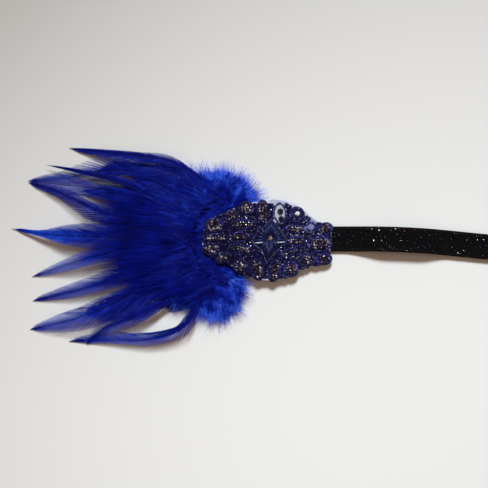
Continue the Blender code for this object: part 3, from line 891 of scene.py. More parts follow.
# Each facet gets a number that picks its colour, the highest numbers giving painted glints.
whole = g.node("GeometryNodeStoreNamedAttribute", {"data_type": "FLOAT", "domain": "FACE"},
               {"Geometry": beads, "Name": "facet", "Value": chance(g, 0.0, 1.0, 12)})
end_tree(g, painted(g, whole, start["Bead"]))


def rightness(g, start, width):
    """How far right a place lies, from 0 at start to 1 a width further on."""
    return clamped(g, (split(g, object_place(g)).output("X") - start) / width)


seed_glass, g = new_material("navy_seed_beads")
tint = carried(g, "tint")
left_glass = coloured(g, tint, (
    (0.0, (0.003, 0.003, 0.040)), (0.6, (0.009, 0.008, 0.110)), (0.92, (0.030, 0.027, 0.250)),
    (1.0, (0.17, 0.16, 0.44)),
))
right_glass = coloured(g, tint, (
    (0.0, (0.003, 0.003, 0.050)), (0.6, (0.010, 0.010, 0.140)), (0.92, (0.032, 0.034, 0.300)),
    (1.0, (0.18, 0.19, 0.52)),
))
# Painted light: the seed beads are lighter and bluer towards the right, for light coming through the
# translucent glass.
finish_material(g, {
    "Base Color": mixed(g, rightness(g, -0.035, 0.07), left_glass, right_glass),
    "Roughness": 0.14,
    "Specular IOR Level": 0.5,
})

cut_glass, g = new_material("bronze_and_purple_cut_beads_with_painted_glints")
tint = carried(g, "tint")
# The beads' own dark purple and bronze, with the palest pink and white stops as painted glints on
# single facets.
finish_material(g, {
    "Base Color": coloured(g, carried(g, "facet") * 0.68 + tint * 0.32, (
        (0.00, (0.003, 0.002, 0.010)), (0.42, (0.006, 0.004, 0.022)), (0.52, (0.045, 0.024, 0.050)),
        (0.62, (0.012, 0.009, 0.070)), (0.72, (0.170, 0.120, 0.140)), (0.77, (0.040, 0.032, 0.180)),
        (0.85, (0.720, 0.610, 0.620)), (1.00, (1.000, 0.980, 1.000)),
    )),
    "Roughness": 0.08 + 0.1 * tint,
    "Metallic": 0.35,
})

dark_glass, g = new_material("midnight_seed_beads_with_painted_glints")
# Painted glints on the palest stops, and a little lighter towards the right as painted light through
# the glass.
share = carried(g, "facet") * 0.5 + carried(g, "tint") * 0.42 + rightness(g, -0.035, 0.07) * 0.10
finish_material(g, {
    "Base Color": coloured(g, share, (
        (0.00, (0.002, 0.002, 0.010)), (0.45, (0.004, 0.004, 0.030)), (0.68, (0.008, 0.008, 0.090)),
        (0.83, (0.035, 0.034, 0.220)), (0.91, (0.330, 0.300, 0.460)), (1.00, (0.900, 0.860, 0.950)),
    )),
    "Roughness": 0.12,
})

pad_thread, g = new_material("dark_sewing_thread")
threads = noise(g, object_place(g), 0.0006, 2.0)
left_thread = mixed(g, threads, (0.002, 0.002, 0.010), (0.014, 0.014, 0.050))
right_thread = mixed(g, threads, (0.005, 0.005, 0.030), (0.042, 0.045, 0.150))
finish_material(g, {
    "Base Color": mixed(g, rightness(g, -0.01, 0.05), left_thread, right_thread),
    "Roughness": 0.9,
    "Specular IOR Level": 0.1,
    "Normal": bumped(g, threads, 0.00015),
})

rng = random.Random(20)


def nudged(p, most):
    """A bead's place, moved a little either way."""
    return p + Vector((rng.uniform(-1, 1), rng.uniform(-1, 1))) * most


clusters = [dict(zip(CLUSTER_COLUMNS, row)) for row in CLUSTERS]
pads = bmesh.new()
strings = []
cut_places = []
space_places = []
for cluster in clusters:
    if cluster["beads"]:
        outline = cluster_ellipse(cluster, -0.0005, 24)
        add_skin(pads, [
            drawn_in(outline, 0.0, GROUND_THICKNESS - PAD_SUNK),
            drawn_in(outline, 0.0, GROUND_THICKNESS + PAD_THICKNESS * 0.6),
            drawn_in(outline, PAD_EDGE, GROUND_THICKNESS + PAD_THICKNESS),
        ])
    ring = cluster_ellipse(cluster, SEED_WIDTH * (0.42 if cluster["beads"] else 0.75), 40)
    strings.append(([sewn(p, SEED_WIDTH / 2) for p in ring], True))
    if not cluster["beads"]:
        continue
    halves = cluster_halves(cluster, -SEED_WIDTH - CUT_BEAD_WIDTH * 0.28)
    room_u, room_v = (max(half, 0.0) for half in halves)
    turn = Matrix.Rotation(math.radians(cluster["turn"]), 2)
    rows = int(2 * room_v / (CUT_BEAD_PITCH * 0.9)) + 1
    for r in range(rows):
        v = (r - (rows - 1) / 2) * CUT_BEAD_PITCH * 0.9
        chord = room_u * math.sqrt(1 - (v / (room_v + CUT_BEAD_WIDTH / 2)) ** 2)
        count = int(2 * chord / CUT_BEAD_PITCH) + 1
        for c in range(count):
            p = nudged(Vector(((c - (count - 1) / 2) * CUT_BEAD_PITCH, v)), CUT_BEAD_PLAY)
            p = on_applique(cluster["u"], cluster["v"]) + turn @ p
            if cluster["beads"] == "seed":
                space_places.append(sewn(p, PAD_THICKNESS + SEED_WIDTH * 0.5))
            else:
                stand = CUT_BEAD_WIDTH * rng.uniform(0.36, 0.50)
                cut_places.append(sewn(p, PAD_THICKNESS + stand))

kites = [petal_corners(u, v, half_width, PETAL_CLEARANCE) for _name, u, v, half_width in PETALS]
inner_outline = [p * (1 - (0.0021 - trimmed(p)) / p.length) for p in ground_outline]
rows = int(APPLIQUE_WIDTH / SPACE_PITCH)
columns = int(APPLIQUE_LENGTH / SPACE_PITCH)
for r in range(-rows // 2, rows // 2 + 1):
    for c in range(-columns // 2, columns // 2 + 1):
        p = Vector((APPLIQUE_MIDDLE_X + (c + 0.5 * (r % 2)) * SPACE_PITCH, r * SPACE_PITCH * 0.87))
        p = nudged(p, SPACE_BEAD_PLAY)
        if not inside_outline(inner_outline, p):
            continue
        if any(inside_cluster(cluster, p, SEED_WIDTH * 0.30) for cluster in clusters):
            continue
        if any(inside_outline(kite, p) for kite in kites):
            continue
        space_places.append(sewn(p, SEED_WIDTH * 0.40))
        patch = [p + spoke(i / 8) * SPACE_PAD_WIDTH / 2 for i in range(8)]
        add_skin(pads, [
            drawn_in(patch, 0.0, GROUND_THICKNESS - PAD_SUNK),
            drawn_in(patch, 0.0, GROUND_THICKNESS + PAD_THICKNESS * 0.5),
        ])

pads_piece = add_piece("cluster_pads", mesh_from(pads, "cluster_pads", smooth=False), pad_thread)
outlines_piece = grow("cluster_outlines", line_mesh("cluster_outlines", strings), string_tree, {
    "Bead Width": SEED_WIDTH, "Bead Length": SEED_LENGTH, "Pitch": SEED_PITCH,
    "Unevenness": 0.00012, "Seed": 4, "Bead": seed_glass,
})
cut_points = line_mesh("cluster_cut_beads", [([p], False) for p in cut_places])
cut_piece = grow("cluster_cut_beads", cut_points, set_tree, {
    "Bead Width": CUT_BEAD_WIDTH, "Flatness": 1.0, "Sides": 8, "Levels": 7, "Tilt": 0.5, "Seed": 9,
    "Bead": cut_glass,
})
loose_points = line_mesh("loose_seed_beads", [([p], False) for p in space_places])
space_piece = grow("loose_seed_beads", loose_points, set_tree, {
    "Bead Width": SEED_WIDTH, "Flatness": 0.8, "Sides": 6, "Levels": 5, "Tilt": 1.5, "Seed": 31,
    "Bead": dark_glass,
})
cluster_nodes = ["cluster_" + cluster["name"] for cluster in clusters]
for piece in (pads_piece, outlines_piece, cut_piece, space_piece):
    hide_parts(*cluster_nodes)
    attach(piece, "root")


# Bugle petals and the stones in the middle
# Four kites of slate blue bugle beads fan out from the middle, each in an outline of small
# seed beads, round an amber stone and a purple one. A clear stone and two black ones are sewn
# to the lobes above them.
BUGLE_WIDTH = 0.00150
BUGLES_PER_PETAL = 7
MIDDLE_BUGLE_WIDTH = 0.00165
FINE_SEED_WIDTH = 0.00100
FINE_SEED_LENGTH = 0.00085
FINE_SEED_PITCH = 0.00094
PETAL_GROWTH = 0.0007
PETAL_RIM = 0.0004
BAR_WIDTH = 0.0008
BAR_HEIGHT = 0.0021
STONE_SIDES = 10


def add_bugle(bm, start, end, width, height):
    """One bugle bead, an eight-sided tube with open ends and a wall."""
    sides = 8
    along = (end - start).normalized()
    across = Vector((-along.y, along.x, 0))
    up = Vector((0, 0, 1))
    rings = []
    for p, share in ((start, 1.0), (end, 1.0), (end, 0.45), (start, 0.45)):
        ring = []
        for i in range(sides):
            out = spoke((i + 0.5) / sides)
            offset = across * out.x + up * out.y
            middle = Vector((p.x, p.y, GROUND_THICKNESS + height))
            ring.append(bm.verts.new(APPLIQUE_PLACE @ (middle + offset * share * width / 2)))
        rings.append(ring)
    add_wall(bm, rings + rings[:1])


bugle_glass, g = new_material("slate_blue_bugle_beads")
streaks = noise(g, object_place(g), 0.0016, 2.0)
finish_material(g, {
    "Base Color": mixed(g, streaks, (0.002, 0.004, 0.034), (0.012, 0.018, 0.095)),
    "Roughness": 0.36,
    "Specular IOR Level": 0.25,
})

fine_glass, g = new_material("fine_slate_seed_beads")
finish_material(g, {
    "Base Color": mixed(g, carried(g, "tint"), (0.008, 0.010, 0.050), (0.095, 0.100, 0.250)),
    "Roughness": 0.25,
    "Specular IOR Level": 0.5,
})

# Painted highlight: two pale bars, laid on the left and right petals, stand for the line of light that
# the middle bugles catch.
painted_highlight_bar, g = new_material("pale_bars_as_painted_highlight")
streaks = noise(g, object_place(g), 0.0012, 2.0)
finish_material(g, {
    "Base Color": mixed(g, streaks, (0.30, 0.34, 0.56), (0.62, 0.66, 0.86)),
    "Roughness": 0.25,
})

bugles = bmesh.new()
petal_strings = []
petal_pads = bmesh.new()
for name, u, v, half_width in PETALS:
    start, right, tip, left = petal_corners(u, v, half_width, PETAL_GROWTH)
    kite = [start, right, tip, left]
    add_skin(petal_pads, [
        drawn_in(kite, 0.0002, GROUND_THICKNESS - 0.0001),
        drawn_in(kite, 0.0002, GROUND_THICKNESS + 0.0003),
    ])
    for i in range(BUGLES_PER_PETAL):
        side = 2 * i / (BUGLES_PER_PETAL - 1) - 1
        end = tip.lerp(right if side < 0 else left, abs(side) ** 0.85)
        begin = start.lerp(end, 0.10 if i % 2 == 0 else 0.24)
        end = start.lerp(end, 0.93)
        if i == BUGLES_PER_PETAL // 2:
            begin = start.lerp(tip, 0.20)
            end = start.lerp(tip, 0.82)
            add_bugle(bugles, begin, end, MIDDLE_BUGLE_WIDTH, 0.0013)
        else:
            add_bugle(bugles, begin, end, BUGLE_WIDTH, 0.0008 + 0.0002 * (i % 2))
    corners = petal_corners(u, v, half_width, PETAL_GROWTH + PETAL_RIM)
    string = []
    for a, b in zip(corners, corners[1:] + corners[:1]):
        string.extend(sewn(a.lerp(b, k / 6), FINE_SEED_WIDTH / 2) for k in range(6))
    petal_strings.append((string, True))

# The painted highlight bars, one on the left petal and one on the right.
bars = bmesh.new()
for x_start, x_end, y in ((-0.0098, -0.0052, -0.0013), (0.0043, 0.0087, -0.0010)):
    add_bugle(bars, Vector((x_start, y, 0)), Vector((x_end, y + 0.0003, 0)), BAR_WIDTH, BAR_HEIGHT)
bar_piece = add_piece("petal_highlight_bars", mesh_from(bars, "petal_highlight_bars"), painted_highlight_bar)
bugle_piece = add_piece("petal_bugles", mesh_from(bugles, "petal_bugles"), bugle_glass)
petal_pad_mesh = mesh_from(petal_pads, "petal_pads", smooth=False)
petal_pad_piece = add_piece("petal_pads", petal_pad_mesh, pad_thread)
fine_piece = grow("petal_outlines", line_mesh("petal_outlines", petal_strings), string_tree, {
    "Bead Width": FINE_SEED_WIDTH, "Bead Length": FINE_SEED_LENGTH, "Pitch": FINE_SEED_PITCH,
    "Unevenness": 0.00006, "Seed": 8, "Bead": fine_glass,
})
petal_nodes = [name for name, *_rest in PETALS]
for piece in (bugle_piece, bar_piece, petal_pad_piece, fine_piece):
    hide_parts(*petal_nodes)
    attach(piece, "root")


def add_stone(bm, middle, width, height):
    """A cut stone: a girdle, two tiers of facets and a flat table."""
    levels = ((0.0, 0.80), (0.35, 1.0), (0.72, 0.78), (1.0, 0.48))
    rings = []
    for k, (z, share) in enumerate(levels):
        ring = []
        for i in range(STONE_SIDES):
            out = spoke((i + 0.5 * (k % 2)) / STONE_SIDES) * share * width / 2
            ring.append((middle + out).to_3d() + Vector((0, 0, GROUND_THICKNESS + z * height)))
        rings.append(ring)
    add_skin(bm, rings)


def stone_material(name, dark, light, level):
    """Glass that is dark, with painted glints where its noise is over a level."""
    material, g = new_material(name)
    facets = noise(g, object_place(g), 0.0009, 1.0)
    finish_material(g, {
        "Base Color": mixed(g, facets > level, dark, light),
        "Roughness": 0.06,
        "Metallic": 0.3,
        "Coat Weight": 1.0,
        "Coat Roughness": 0.03,
    })
    return material


amber = stone_material("amber_stone", (0.05, 0.025, 0.030), (0.42, 0.31, 0.27), 0.5)
purple = stone_material("purple_stone", (0.03, 0.01, 0.08), (0.30, 0.16, 0.36), 0.55)
clear = stone_material("clear_stone", (0.62, 0.62, 0.75), (1.0, 1.0, 1.0), 0.45)
black = stone_material("black_stone", (0.002, 0.002, 0.004), (0.30, 0.28, 0.36), 0.68)
centre = on_applique(CENTRE_U, CENTRE_V)
STONES = (
    ("amber_stone", centre + Vector((0.0, 0.0004)), 0.0033, 0.0021, amber, "centre_bead"),
    ("purple_stone", centre + Vector((0.0002, -0.0024)), 0.0018, 0.0015, purple, "centre_bead"),
    ("clear_stone", Vector((0.0172, 0.0172)), 0.0034, 0.0026, clear, "cluster_round_right_upper"),
    ("black_stone_upper", Vector((0.0063, 0.0187)), 0.0039, 0.0020, black,
     "cluster_tall_right_upper"),
    ("black_stone_lower", Vector((0.0068, 0.0141)), 0.0037, 0.0020, black,
     "cluster_tall_right_upper"),
)
for name, middle, width, height, material, node in STONES:
    bm = bmesh.new()
    add_stone(bm, middle, width, height)
    stone = add_piece(name, mesh_from(bm, name, smooth=False), material)
    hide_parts(node)
    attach(stone, "root")


# Downy heart of the plume
# The soft lower ends of about a hundred dyed hackles, bunched over the fold of the elastic and
# glued under the applique. It is built as one dark mound for the barbs above it to lie on, its
# navy partly the down's own dye and partly painted shade deep in the plume between the barbs.
PLUME_HEART = Vector((-0.0544, -0.0013))
MASS_LENGTH = 0.1000
MASS_WIDTH = 0.1040
MASS_HEIGHT = 0.0120
MASS_RIM_HEIGHT = 0.0030
MASS_RIM_THICKNESS = 0.0014
MASS_RIPPLE_LENGTH = 0.0300
DRAPE_MARGIN = 0.0075
DRAPE_SLOPE = 0.9
APPLIQUE_MARGIN = 0.0050
MOUND_SHARE = 0.84
MOUND_RIGHT_SHARE = 0.86
MOUND_LEFT_SHARE = 0.66
MOUND_RINGS = 22
MASS_OUTLINE = (
    (0.80, 0.04), (0.84, 0.26), (0.93, 0.47), (0.97, 0.61), (0.86, 0.76), (0.71, 0.86),
    (0.51, 0.91), (0.29, 0.88), (0.04, 0.90), (-0.28, 0.93), (-0.60, 0.96), (-0.77, 0.88),
    (-0.90, 0.65), (-1.00, 0.38), (-1.00, 0.06), (-0.90, -0.23), (-0.74, -0.51),
    (-0.54, -0.71), (-0.22, -0.76), (0.10, -0.78), (0.29, -0.92), (0.51, -0.97),
    (0.69, -0.87), (0.77, -0.69), (0.77, -0.48), (0.79, -0.23),
)


def outside_band(x, y):
    """How far (x, y) lies outside the part of the table that the elastic covers."""
    past_fold = FOLD_AT - (GAP_IN_FOLD / 2 + BAND_THICKNESS) - x
    past_edge = abs(y - BAND_OFFSET) - BAND_WIDTH / 2
    return math.hypot(max(past_fold, 0.0), max(past_edge, 0.0))


def mass_underside(x, y, share):
    over_band = 2 * BAND_THICKNESS + GAP_IN_FOLD + SEAT
    draped = over_band - max(outside_band(x, y) - DRAPE_MARGIN, 0.0) * DRAPE_SLOPE
    rim = MASS_RIM_HEIGHT - MASS_RIM_THICKNESS
    return max(draped, SEAT + (rim - SEAT) * share**3)


def under_applique(x, y, margin):
    half_u = APPLIQUE_LENGTH / 2 + margin
    half_v = APPLIQUE_WIDTH / 2 + margin
    return abs((x - APPLIQUE_MIDDLE_X) / half_u) ** 2.3 + abs(y / half_v) ** 2.3 < 1


def mass_top(x, y, share):
    """How high the plume's soft top stands at (x, y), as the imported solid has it."""
    turn = 2 * math.pi / MASS_RIPPLE_LENGTH
    ripple = 1 + 0.07 * math.sin(turn * x) * math.cos(0.8 * turn * y)
    ripple += 0.05 * math.sin(1.6 * turn * (x - y))
    share = min(share, 1.0)
    full = MASS_RIM_HEIGHT + (MASS_HEIGHT * ripple - MASS_RIM_HEIGHT) * (1 - share**2.6)
    full = max(full, mass_underside(x, y, share) + QUILL_END_THICKNESS)
    if under_applique(x, y, APPLIQUE_MARGIN):
        full = min(full, applique_underside(x) - SEAT)
    return full


mass_outline = closed_curve(
    [Vector((u * MASS_LENGTH / 2, v * MASS_WIDTH / 2)) for u, v in MASS_OUTLINE], 96)


def share_from_heart(x, y):
    """How far out (x, y) lies between the plume's heart, 0, and its soft outline, 1."""
    away = Vector((x, y)) - PLUME_HEART
    angle = math.atan2(away.y, away.x)

    def turn_to(p):
        return abs(math.remainder(math.atan2(p.y, p.x) - angle, math.tau))

    return away.length / min(mass_outline, key=turn_to).length


def build_mound(right_share):
    """The mound, as two skins over rings about the heart, a little lower than the solid."""
    spokes = len(mass_outline)
    bm = bmesh.new()
    edges = []
    for upper in (True, False):
        rows = []
        for r in range(MOUND_RINGS + 1):
            share = r / MOUND_RINGS
            row = []
            for p in mass_outline if r else mass_outline[:1]:
                width_share = right_share if p.x > 0 else MOUND_LEFT_SHARE
                x, y = PLUME_HEART + Vector((p.x * width_share, p.y * right_share)) * share
                low = mass_underside(x, y, share)
                z = max(low + 0.0004, mass_top(x, y, share) * MOUND_SHARE) if upper else low
                row.append(bm.verts.new((x, y, z)))
            rows.append(row)
        for i in range(spokes):
            bm.faces.new((rows[0][0], rows[1][i], rows[1][(i + 1) % spokes]))
        for low, high in zip(rows[1:], rows[2:]):
            for i in range(spokes):
                j = (i + 1) % spokes
                bm.faces.new((low[i], high[i], high[j], low[j]))
        edges.append(rows[-1])
    for i in range(spokes):
        j = (i + 1) % spokes
        bm.faces.new((edges[0][i], edges[0][j], edges[1][j], edges[1][i]))
    return mesh_from(bm, "plume_heart")


# Partly painted shade: the down's navy is darkened for the shade deep in the plume between the barbs.
mound_down, g = new_material("navy_down_with_painted_shade")
place = object_place(g)
squeezed = g.node("ShaderNodeMapping", {}, {"Vector": place, "Scale": (0.25, 1.0, 1.0)})
streaks = noise(g, squeezed, 0.0008, 4.0, 0.65)
patches = noise(g, place, 0.012, 2.0)
share = streaks * 0.7 + patches * 0.3
finish_material(g, {
    "Base Color": mixed(g, share, (0.0002, 0.001, 0.060), (0.0008, 0.004, 0.190)),
    "Roughness": 0.8,
    "Specular IOR Level": 0.05,
    "Normal": bumped(g, streaks, 0.0008),
})
mound = add_piece("plume_heart", build_mound(MOUND_RIGHT_SHARE), mound_down)
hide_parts("feather_plume")
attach(mound, "root")


# Hackle feathers
# Fourteen long dyed hackles fan out to the left over some eighty shorter ones. Each has a
# thin dark shaft with a vane of barbs on either side, which lean towards the tip.
FEATHER_REACH = 0.1105
VANE_WIDTH = 0.0120
VANE_THICKNESS = 0.0012
FEATHER_ROOT_HEIGHT = 0.0060
LONG_COLUMNS = ("name", "route", "width", "tip", "arch", "opaque", "tone", "far_share", "rise")
LONG_HACKLES = (
    ("top", ((-0.67, 0.55), (-0.47, 0.525), (-0.25, 0.497), (-0.07, 0.465), (0.12, 0.36)), 0.80,
     0.00, 0.35, 1.45, 0.35, 2.0, 0.95),
    ("upper_fill", ((-0.49, 0.42), (-0.34, 0.437), (-0.16, 0.43), (0.17, 0.33)), 1.50, 0.00, 0.20,
     1.40, 0.40, 1.5, 0.95),
    ("crossing", ((-0.80, 0.45), (-0.57, 0.40), (-0.33, 0.34), (-0.10, 0.23)), 0.42, 0.25, 0.55,
     1.50, 0.25, 0.6, 1.0),
    ("grey_upper", ((-0.91, 0.36), (-0.70, 0.375), (-0.40, 0.42), (-0.10, 0.37)), 0.95, 0.00, 0.10,
     0.85, 0.60, 0.45, 1.25),
    ("grey_inner", ((-0.90, 0.355), (-0.70, 0.335), (-0.42, 0.30), (-0.12, 0.20)), 1.50, 0.00, 0.18,
     0.72, 0.75, 1.0, 1.2),
    ("grey_lower", ((-0.905, 0.35), (-0.70, 0.285), (-0.47, 0.175), (-0.18, 0.12)), 1.00, 0.00,
     0.25, 1.05, 0.40, 1.3, 1.0),
    ("short_upper", ((-0.59, 0.30), (-0.43, 0.285), (-0.27, 0.25), (-0.07, 0.19)), 0.85, 0.20, 0.35,
     1.40, 0.35, 1.0, 1.0),
    ("middle", ((-1.00, 0.083), (-0.79, 0.05), (-0.53, 0.037), (-0.18, 0.03)), 1.60, 0.00, 0.45,
     1.70, 0.95, 0.9, 3.0),
    ("lower_first", ((-0.885, -0.195), (-0.69, -0.13), (-0.47, -0.065), (-0.18, -0.01)), 1.00, 0.00,
     0.30, 0.95, 0.80, 1.1, 1.15),
    ("lower_second", ((-0.88, -0.335), (-0.65, -0.28), (-0.415, -0.21), (-0.13, -0.11)), 1.10, 0.00,
     0.25, 1.02, 0.65, 0.8, 0.95),
    ("lower_third", ((-0.895, -0.50), (-0.68, -0.45), (-0.445, -0.365), (-0.155, -0.20)), 1.50,
     0.00, 0.30, 0.96, 0.85, 1.0, 1.1),
    ("lower_fill", ((-0.57, -0.405), (-0.42, -0.37), (-0.26, -0.315), (0.0, -0.20)), 1.60, 0.00,
     0.20, 1.30, 0.60, 1.0, 1.1),
    ("bottom_straight", ((-0.57, -0.585), (-0.445, -0.48), (-0.27, -0.415), (-0.04, -0.31)), 1.00,
     0.05, 0.30, 1.00, 0.50, 1.0, 0.95),
    ("bottom_curled", ((-0.67, -0.57), (-0.445, -0.558), (-0.185, -0.55), (0.0, -0.474),
                       (0.09, -0.33)), 1.15, 0.00, 0.20, 1.00, 0.75, 0.50, 0.95),
)
BARB_SPACING = 0.00036
BARB_WIDTH = 0.00034
SHAFT_WIDTH = 0.00062
SHORT_BARB_WIDTH = 0.00042
SHORT_SHAFT_WIDTH = 0.00022
ROD_PIECE = 0.0025
ROD_LIFT = 0.00025
LOWEST_BARB = 0.00012
SHORT_COUNT = 84
UPPER_COUNT = 7


def open_curve(points, count):
    """count points spaced evenly in the parameter along the curve through points."""
    points = [Vector(p) for p in points]
    points = [2 * points[0] - points[1], *points, 2 * points[-1] - points[-2]]
    spans = len(points) - 3
    curve = []
    for i in range(count):
        place = spans * i / (count - 1)
        k = min(int(place), spans - 1)
        curve.append(spline_point(*points[k:k + 4], place - k))
    return curve


def shaft_mesh(name, shafts):
    """Shafts from root to tip as strings of points that carry their vane's facts."""
    mesh = line_mesh(name, [([Vector(p[:3]) for p in shaft], False) for shaft in shafts])
    columns = ("left_width", "right_width", "opaque", "tone", "down")
    values = [point for shaft in shafts for point in shaft]
    for k, column in enumerate(columns):
        attribute = mesh.attributes.new(column, "FLOAT", "POINT")
        attribute.data.foreach_set("value", [point[3 + k] for point in values])
    return mesh


def above_table(g, position):
    """The position, raised where it would pass through the table."""
    parts = split(g, position)
    height = g.node("ShaderNodeMath", {"operation": "MAXIMUM"}, {0: parts.output("Z"), 1: LOWEST_BARB})
    return joined(g, parts.output("X"), parts.output("Y"), height)


def strips_on(g, points, length, steps, seed):
    """A strip on every point, which keeps the point's place and three random numbers."""
    luck = chance(g, 0.0, 1.0, seed, "FLOAT_VECTOR")
    points = kept(g, points, "root", "FLOAT_VECTOR", g.node("GeometryNodeInputPosition"))
    points = kept(g, points, "luck", "FLOAT_VECTOR", luck)
    strip = g.node("GeometryNodeMeshGrid", {}, {
        "Size X": length, "Size Y": 1.0, "Vertices X": steps, "Vertices Y": 2,
    })
    strip = kept(g, strip, "strip", "FLOAT_VECTOR", g.node("GeometryNodeInputPosition"))
    strips = g.node("GeometryNodeInstanceOnPoints", {}, {"Points": points, "Instance": strip})
    place = split(g, named(g, "strip", "FLOAT_VECTOR"))
    luck = split(g, named(g, "luck", "FLOAT_VECTOR"))
    return realized(g, strips), place, luck, named(g, "root", "FLOAT_VECTOR")


def side_and_up(g, forwards):
    """The level direction at right angles to forwards, and the upright one."""
    up = joined(g, 0.0, 0.0, 1.0)
    side = g.node("ShaderNodeVectorMath", {"operation": "CROSS_PRODUCT"}, {0: forwards, 1: up})
    return g.node("ShaderNodeVectorMath", {"operation": "NORMALIZE"}, {0: side}), up


hackle_tree, g, start = new_tree("hackle_barbs", {
    "Barb Spacing": "Float", "Barb Width": "Float", "Barb Lean": "Float", "Clumping": "Float",
    "Length Loss": "Float", "Shaft Width": "Float", "Barb Points": "Int", "Seed": "Int",
    "Barbs": "Material", "Shaft": "Material",
})
shafts = g.node("GeometryNodeMeshToCurve", {}, {"Mesh": start["Geometry"]})
points = g.node("GeometryNodeResampleCurve", {"mode": "LENGTH"},
                {"Curve": shafts, "Length": start["Barb Spacing"]})
points = kept(g, points, "tangent", "FLOAT_VECTOR", g.node("GeometryNodeInputTangent"))
barbs, place, luck, root = strips_on(g, points, 2.0, start["Barb Points"], start["Seed"])
tangent = named(g, "tangent", "FLOAT_VECTOR")
slopes = split(g, tangent)
level = g.node("ShaderNodeMath", {"operation": "MINIMUM"}, {0: slopes.output("Z"), 1: 0.03})
forwards = joined(g, slopes.output("X"), slopes.output("Y"), level)
out = abs(place.output("X"))
right = place.output("X") > 0.0
hand = right * 2 - 1
side, up = side_and_up(g, tangent)
half_width = named(g, "right_width") * right + named(g, "left_width") * (1 - right)
down = named(g, "down")
reach = half_width * (1 - start["Length Loss"] * luck.output("X") - down * 0.3 * luck.output("Z"))
bunches = noise(g, root + side * hand * 0.004, 1 / 420, 1.0)
strands = noise(g, root, 1 / 1600, 0.0)
wander = start["Clumping"] * ((bunches - 0.5) * 2 + (strands - 0.5) * (1 + down * 2))
forward = reach * (start["Barb Lean"] * (1 - 0.45 * down) * out ** 1.25 + wander * out ** 1.6)
breadth = start["Barb Width"] * named(g, "opaque") * (1 - 0.40 * out ** 2.0)
forward = forward + place.output("Y") * breadth
lift = reach * (0.16 * out * (1 - out) + (luck.output("Y") - 0.5) * (0.10 + 0.35 * down) * out)
position = root + side * (hand * reach * out) + forwards * forward + up * lift
position = above_table(g, position)
barbs = g.node("GeometryNodeSetPosition", {}, {"Geometry": barbs, "Position": position})
barbs = kept(g, barbs, "along_barb", "FLOAT", out)
barbs = kept(g, barbs, "tint", "FLOAT", luck.output("Z"))
barbs = painted(g, barbs, start["Barbs"])
taper = g.node("GeometryNodeSplineParameter").output("Factor")
rods = g.node("GeometryNodeResampleCurve", {"mode": "LENGTH"}, {"Curve": shafts, "Length": ROD_PIECE})
rods = g.node("GeometryNodeCurveToMesh", {}, {
    "Curve": rods, "Profile Curve": circle(g, 5, 1.0), "Fill Caps": True,
    "Scale": start["Shaft Width"] / 2 * (1.05 - taper * 0.85),
})
rods = g.node("GeometryNodeSetPosition", {}, {"Geometry": rods, "Offset": (0.0, 0.0, ROD_LIFT)})
rods = painted(g, rods, start["Shaft"])
end_tree(g, g.node("GeometryNodeJoinGeometry", {}, {"Geometry": [barbs, rods]}))

barb_dye, g = new_material("royal_blue_barbs")
tone = carried(g, "tone")
tint = carried(g, "tint")
along = carried(g, "along_barb")
patches = noise(g, object_place(g), 0.005, 2.0)
share = tone * 0.7 + (tint - 0.5) * 0.35 + (patches - 0.5) * 0.4 + along * 0.15
finish_material(g, {
    "Base Color": coloured(g, clamped(g, share), (
        (0.00, (0.000, 0.0008, 0.045)), (0.35, (0.0004, 0.0028, 0.165)), (0.70, (0.004, 0.026, 0.36)),
        (1.00, (0.018, 0.085, 0.62)),
    )),
    "Roughness": 0.5,
    "Specular IOR Level": 0.06,
})

shaft_dye, g = new_material("navy_shafts")
ripple = noise(g, object_place(g), 0.003, 2.0)
bare_shaft = mixed(g, ripple, (0.0, 0.0003, 0.006), (0.0005, 0.0012, 0.026))
finish_material(g, {
    "Base Color": mixed(g, rightness(g, -0.105, 0.03), bare_shaft, (0.0004, 0.003, 0.120)),
    "Roughness": 0.5,
    "Specular IOR Level": 0.08,
})


def vane_spread(t, rise, full_at):
    """How wide a vane is at t from its tip, 0, to its root, 1."""
    swell = math.sin(min(t / full_at, 1.0) * math.pi / 2) ** rise
    return 0.01 + 0.10 * smoothstep(t / 0.15) + 0.89 * swell


def long_hackle(hackle):
    """The shaft of a long hackle: it rests on its tip, arches and runs up over the mound."""
    sections = 33
    shaft = open_curve([PLUME_HEART + Vector(p) * FEATHER_REACH for p in hackle["route"]], sections)
    low = VANE_THICKNESS / 2
    points = []
    for k, place in enumerate(shaft):
        t = k / (sections - 1)
        z = low + hackle["tip"] * MASS_HEIGHT * (1 - t)
        z += (FEATHER_ROOT_HEIGHT - low) * smoothstep(t * 1.1)
        z += hackle["arch"] * MASS_HEIGHT * math.sin(math.pi * t) ** 1.2
        share = share_from_heart(place.x, place.y)
        if share < 1.05:
            over = mass_top(place.x, place.y, share) + 0.0004
            over -= 0.006 * smoothstep((t - 0.65) / 0.35)
            z += (max(z, over) - z) * min((1.05 - share) / 0.20, 1.0)
        half = hackle["width"] * VANE_WIDTH / 2 * vane_spread(t, hackle["rise"], 1.0)
        half *= 1 - 0.6 * smoothstep((t - 0.8) / 0.2)
        far = hackle["far_share"]
        solid = max(1 - smoothstep(t / 0.16), smoothstep((t - 0.41) / 0.38))
        opaque = hackle["opaque"] + max(1.3 - hackle["opaque"], 0.0) * solid
        tone = hackle["tone"] * (0.4 + 0.6 * smoothstep(t / 0.25))
        tone += (0.42 - tone) * smoothstep((t - 0.42) / 0.4)
        points.append((place.x, place.y, z, half * 2 / (1 + far) * far, half * 2 / (1 + far),
                       opaque, tone, 0.25 * smoothstep((t - 0.5) / 0.5)))
    return points[::-1]


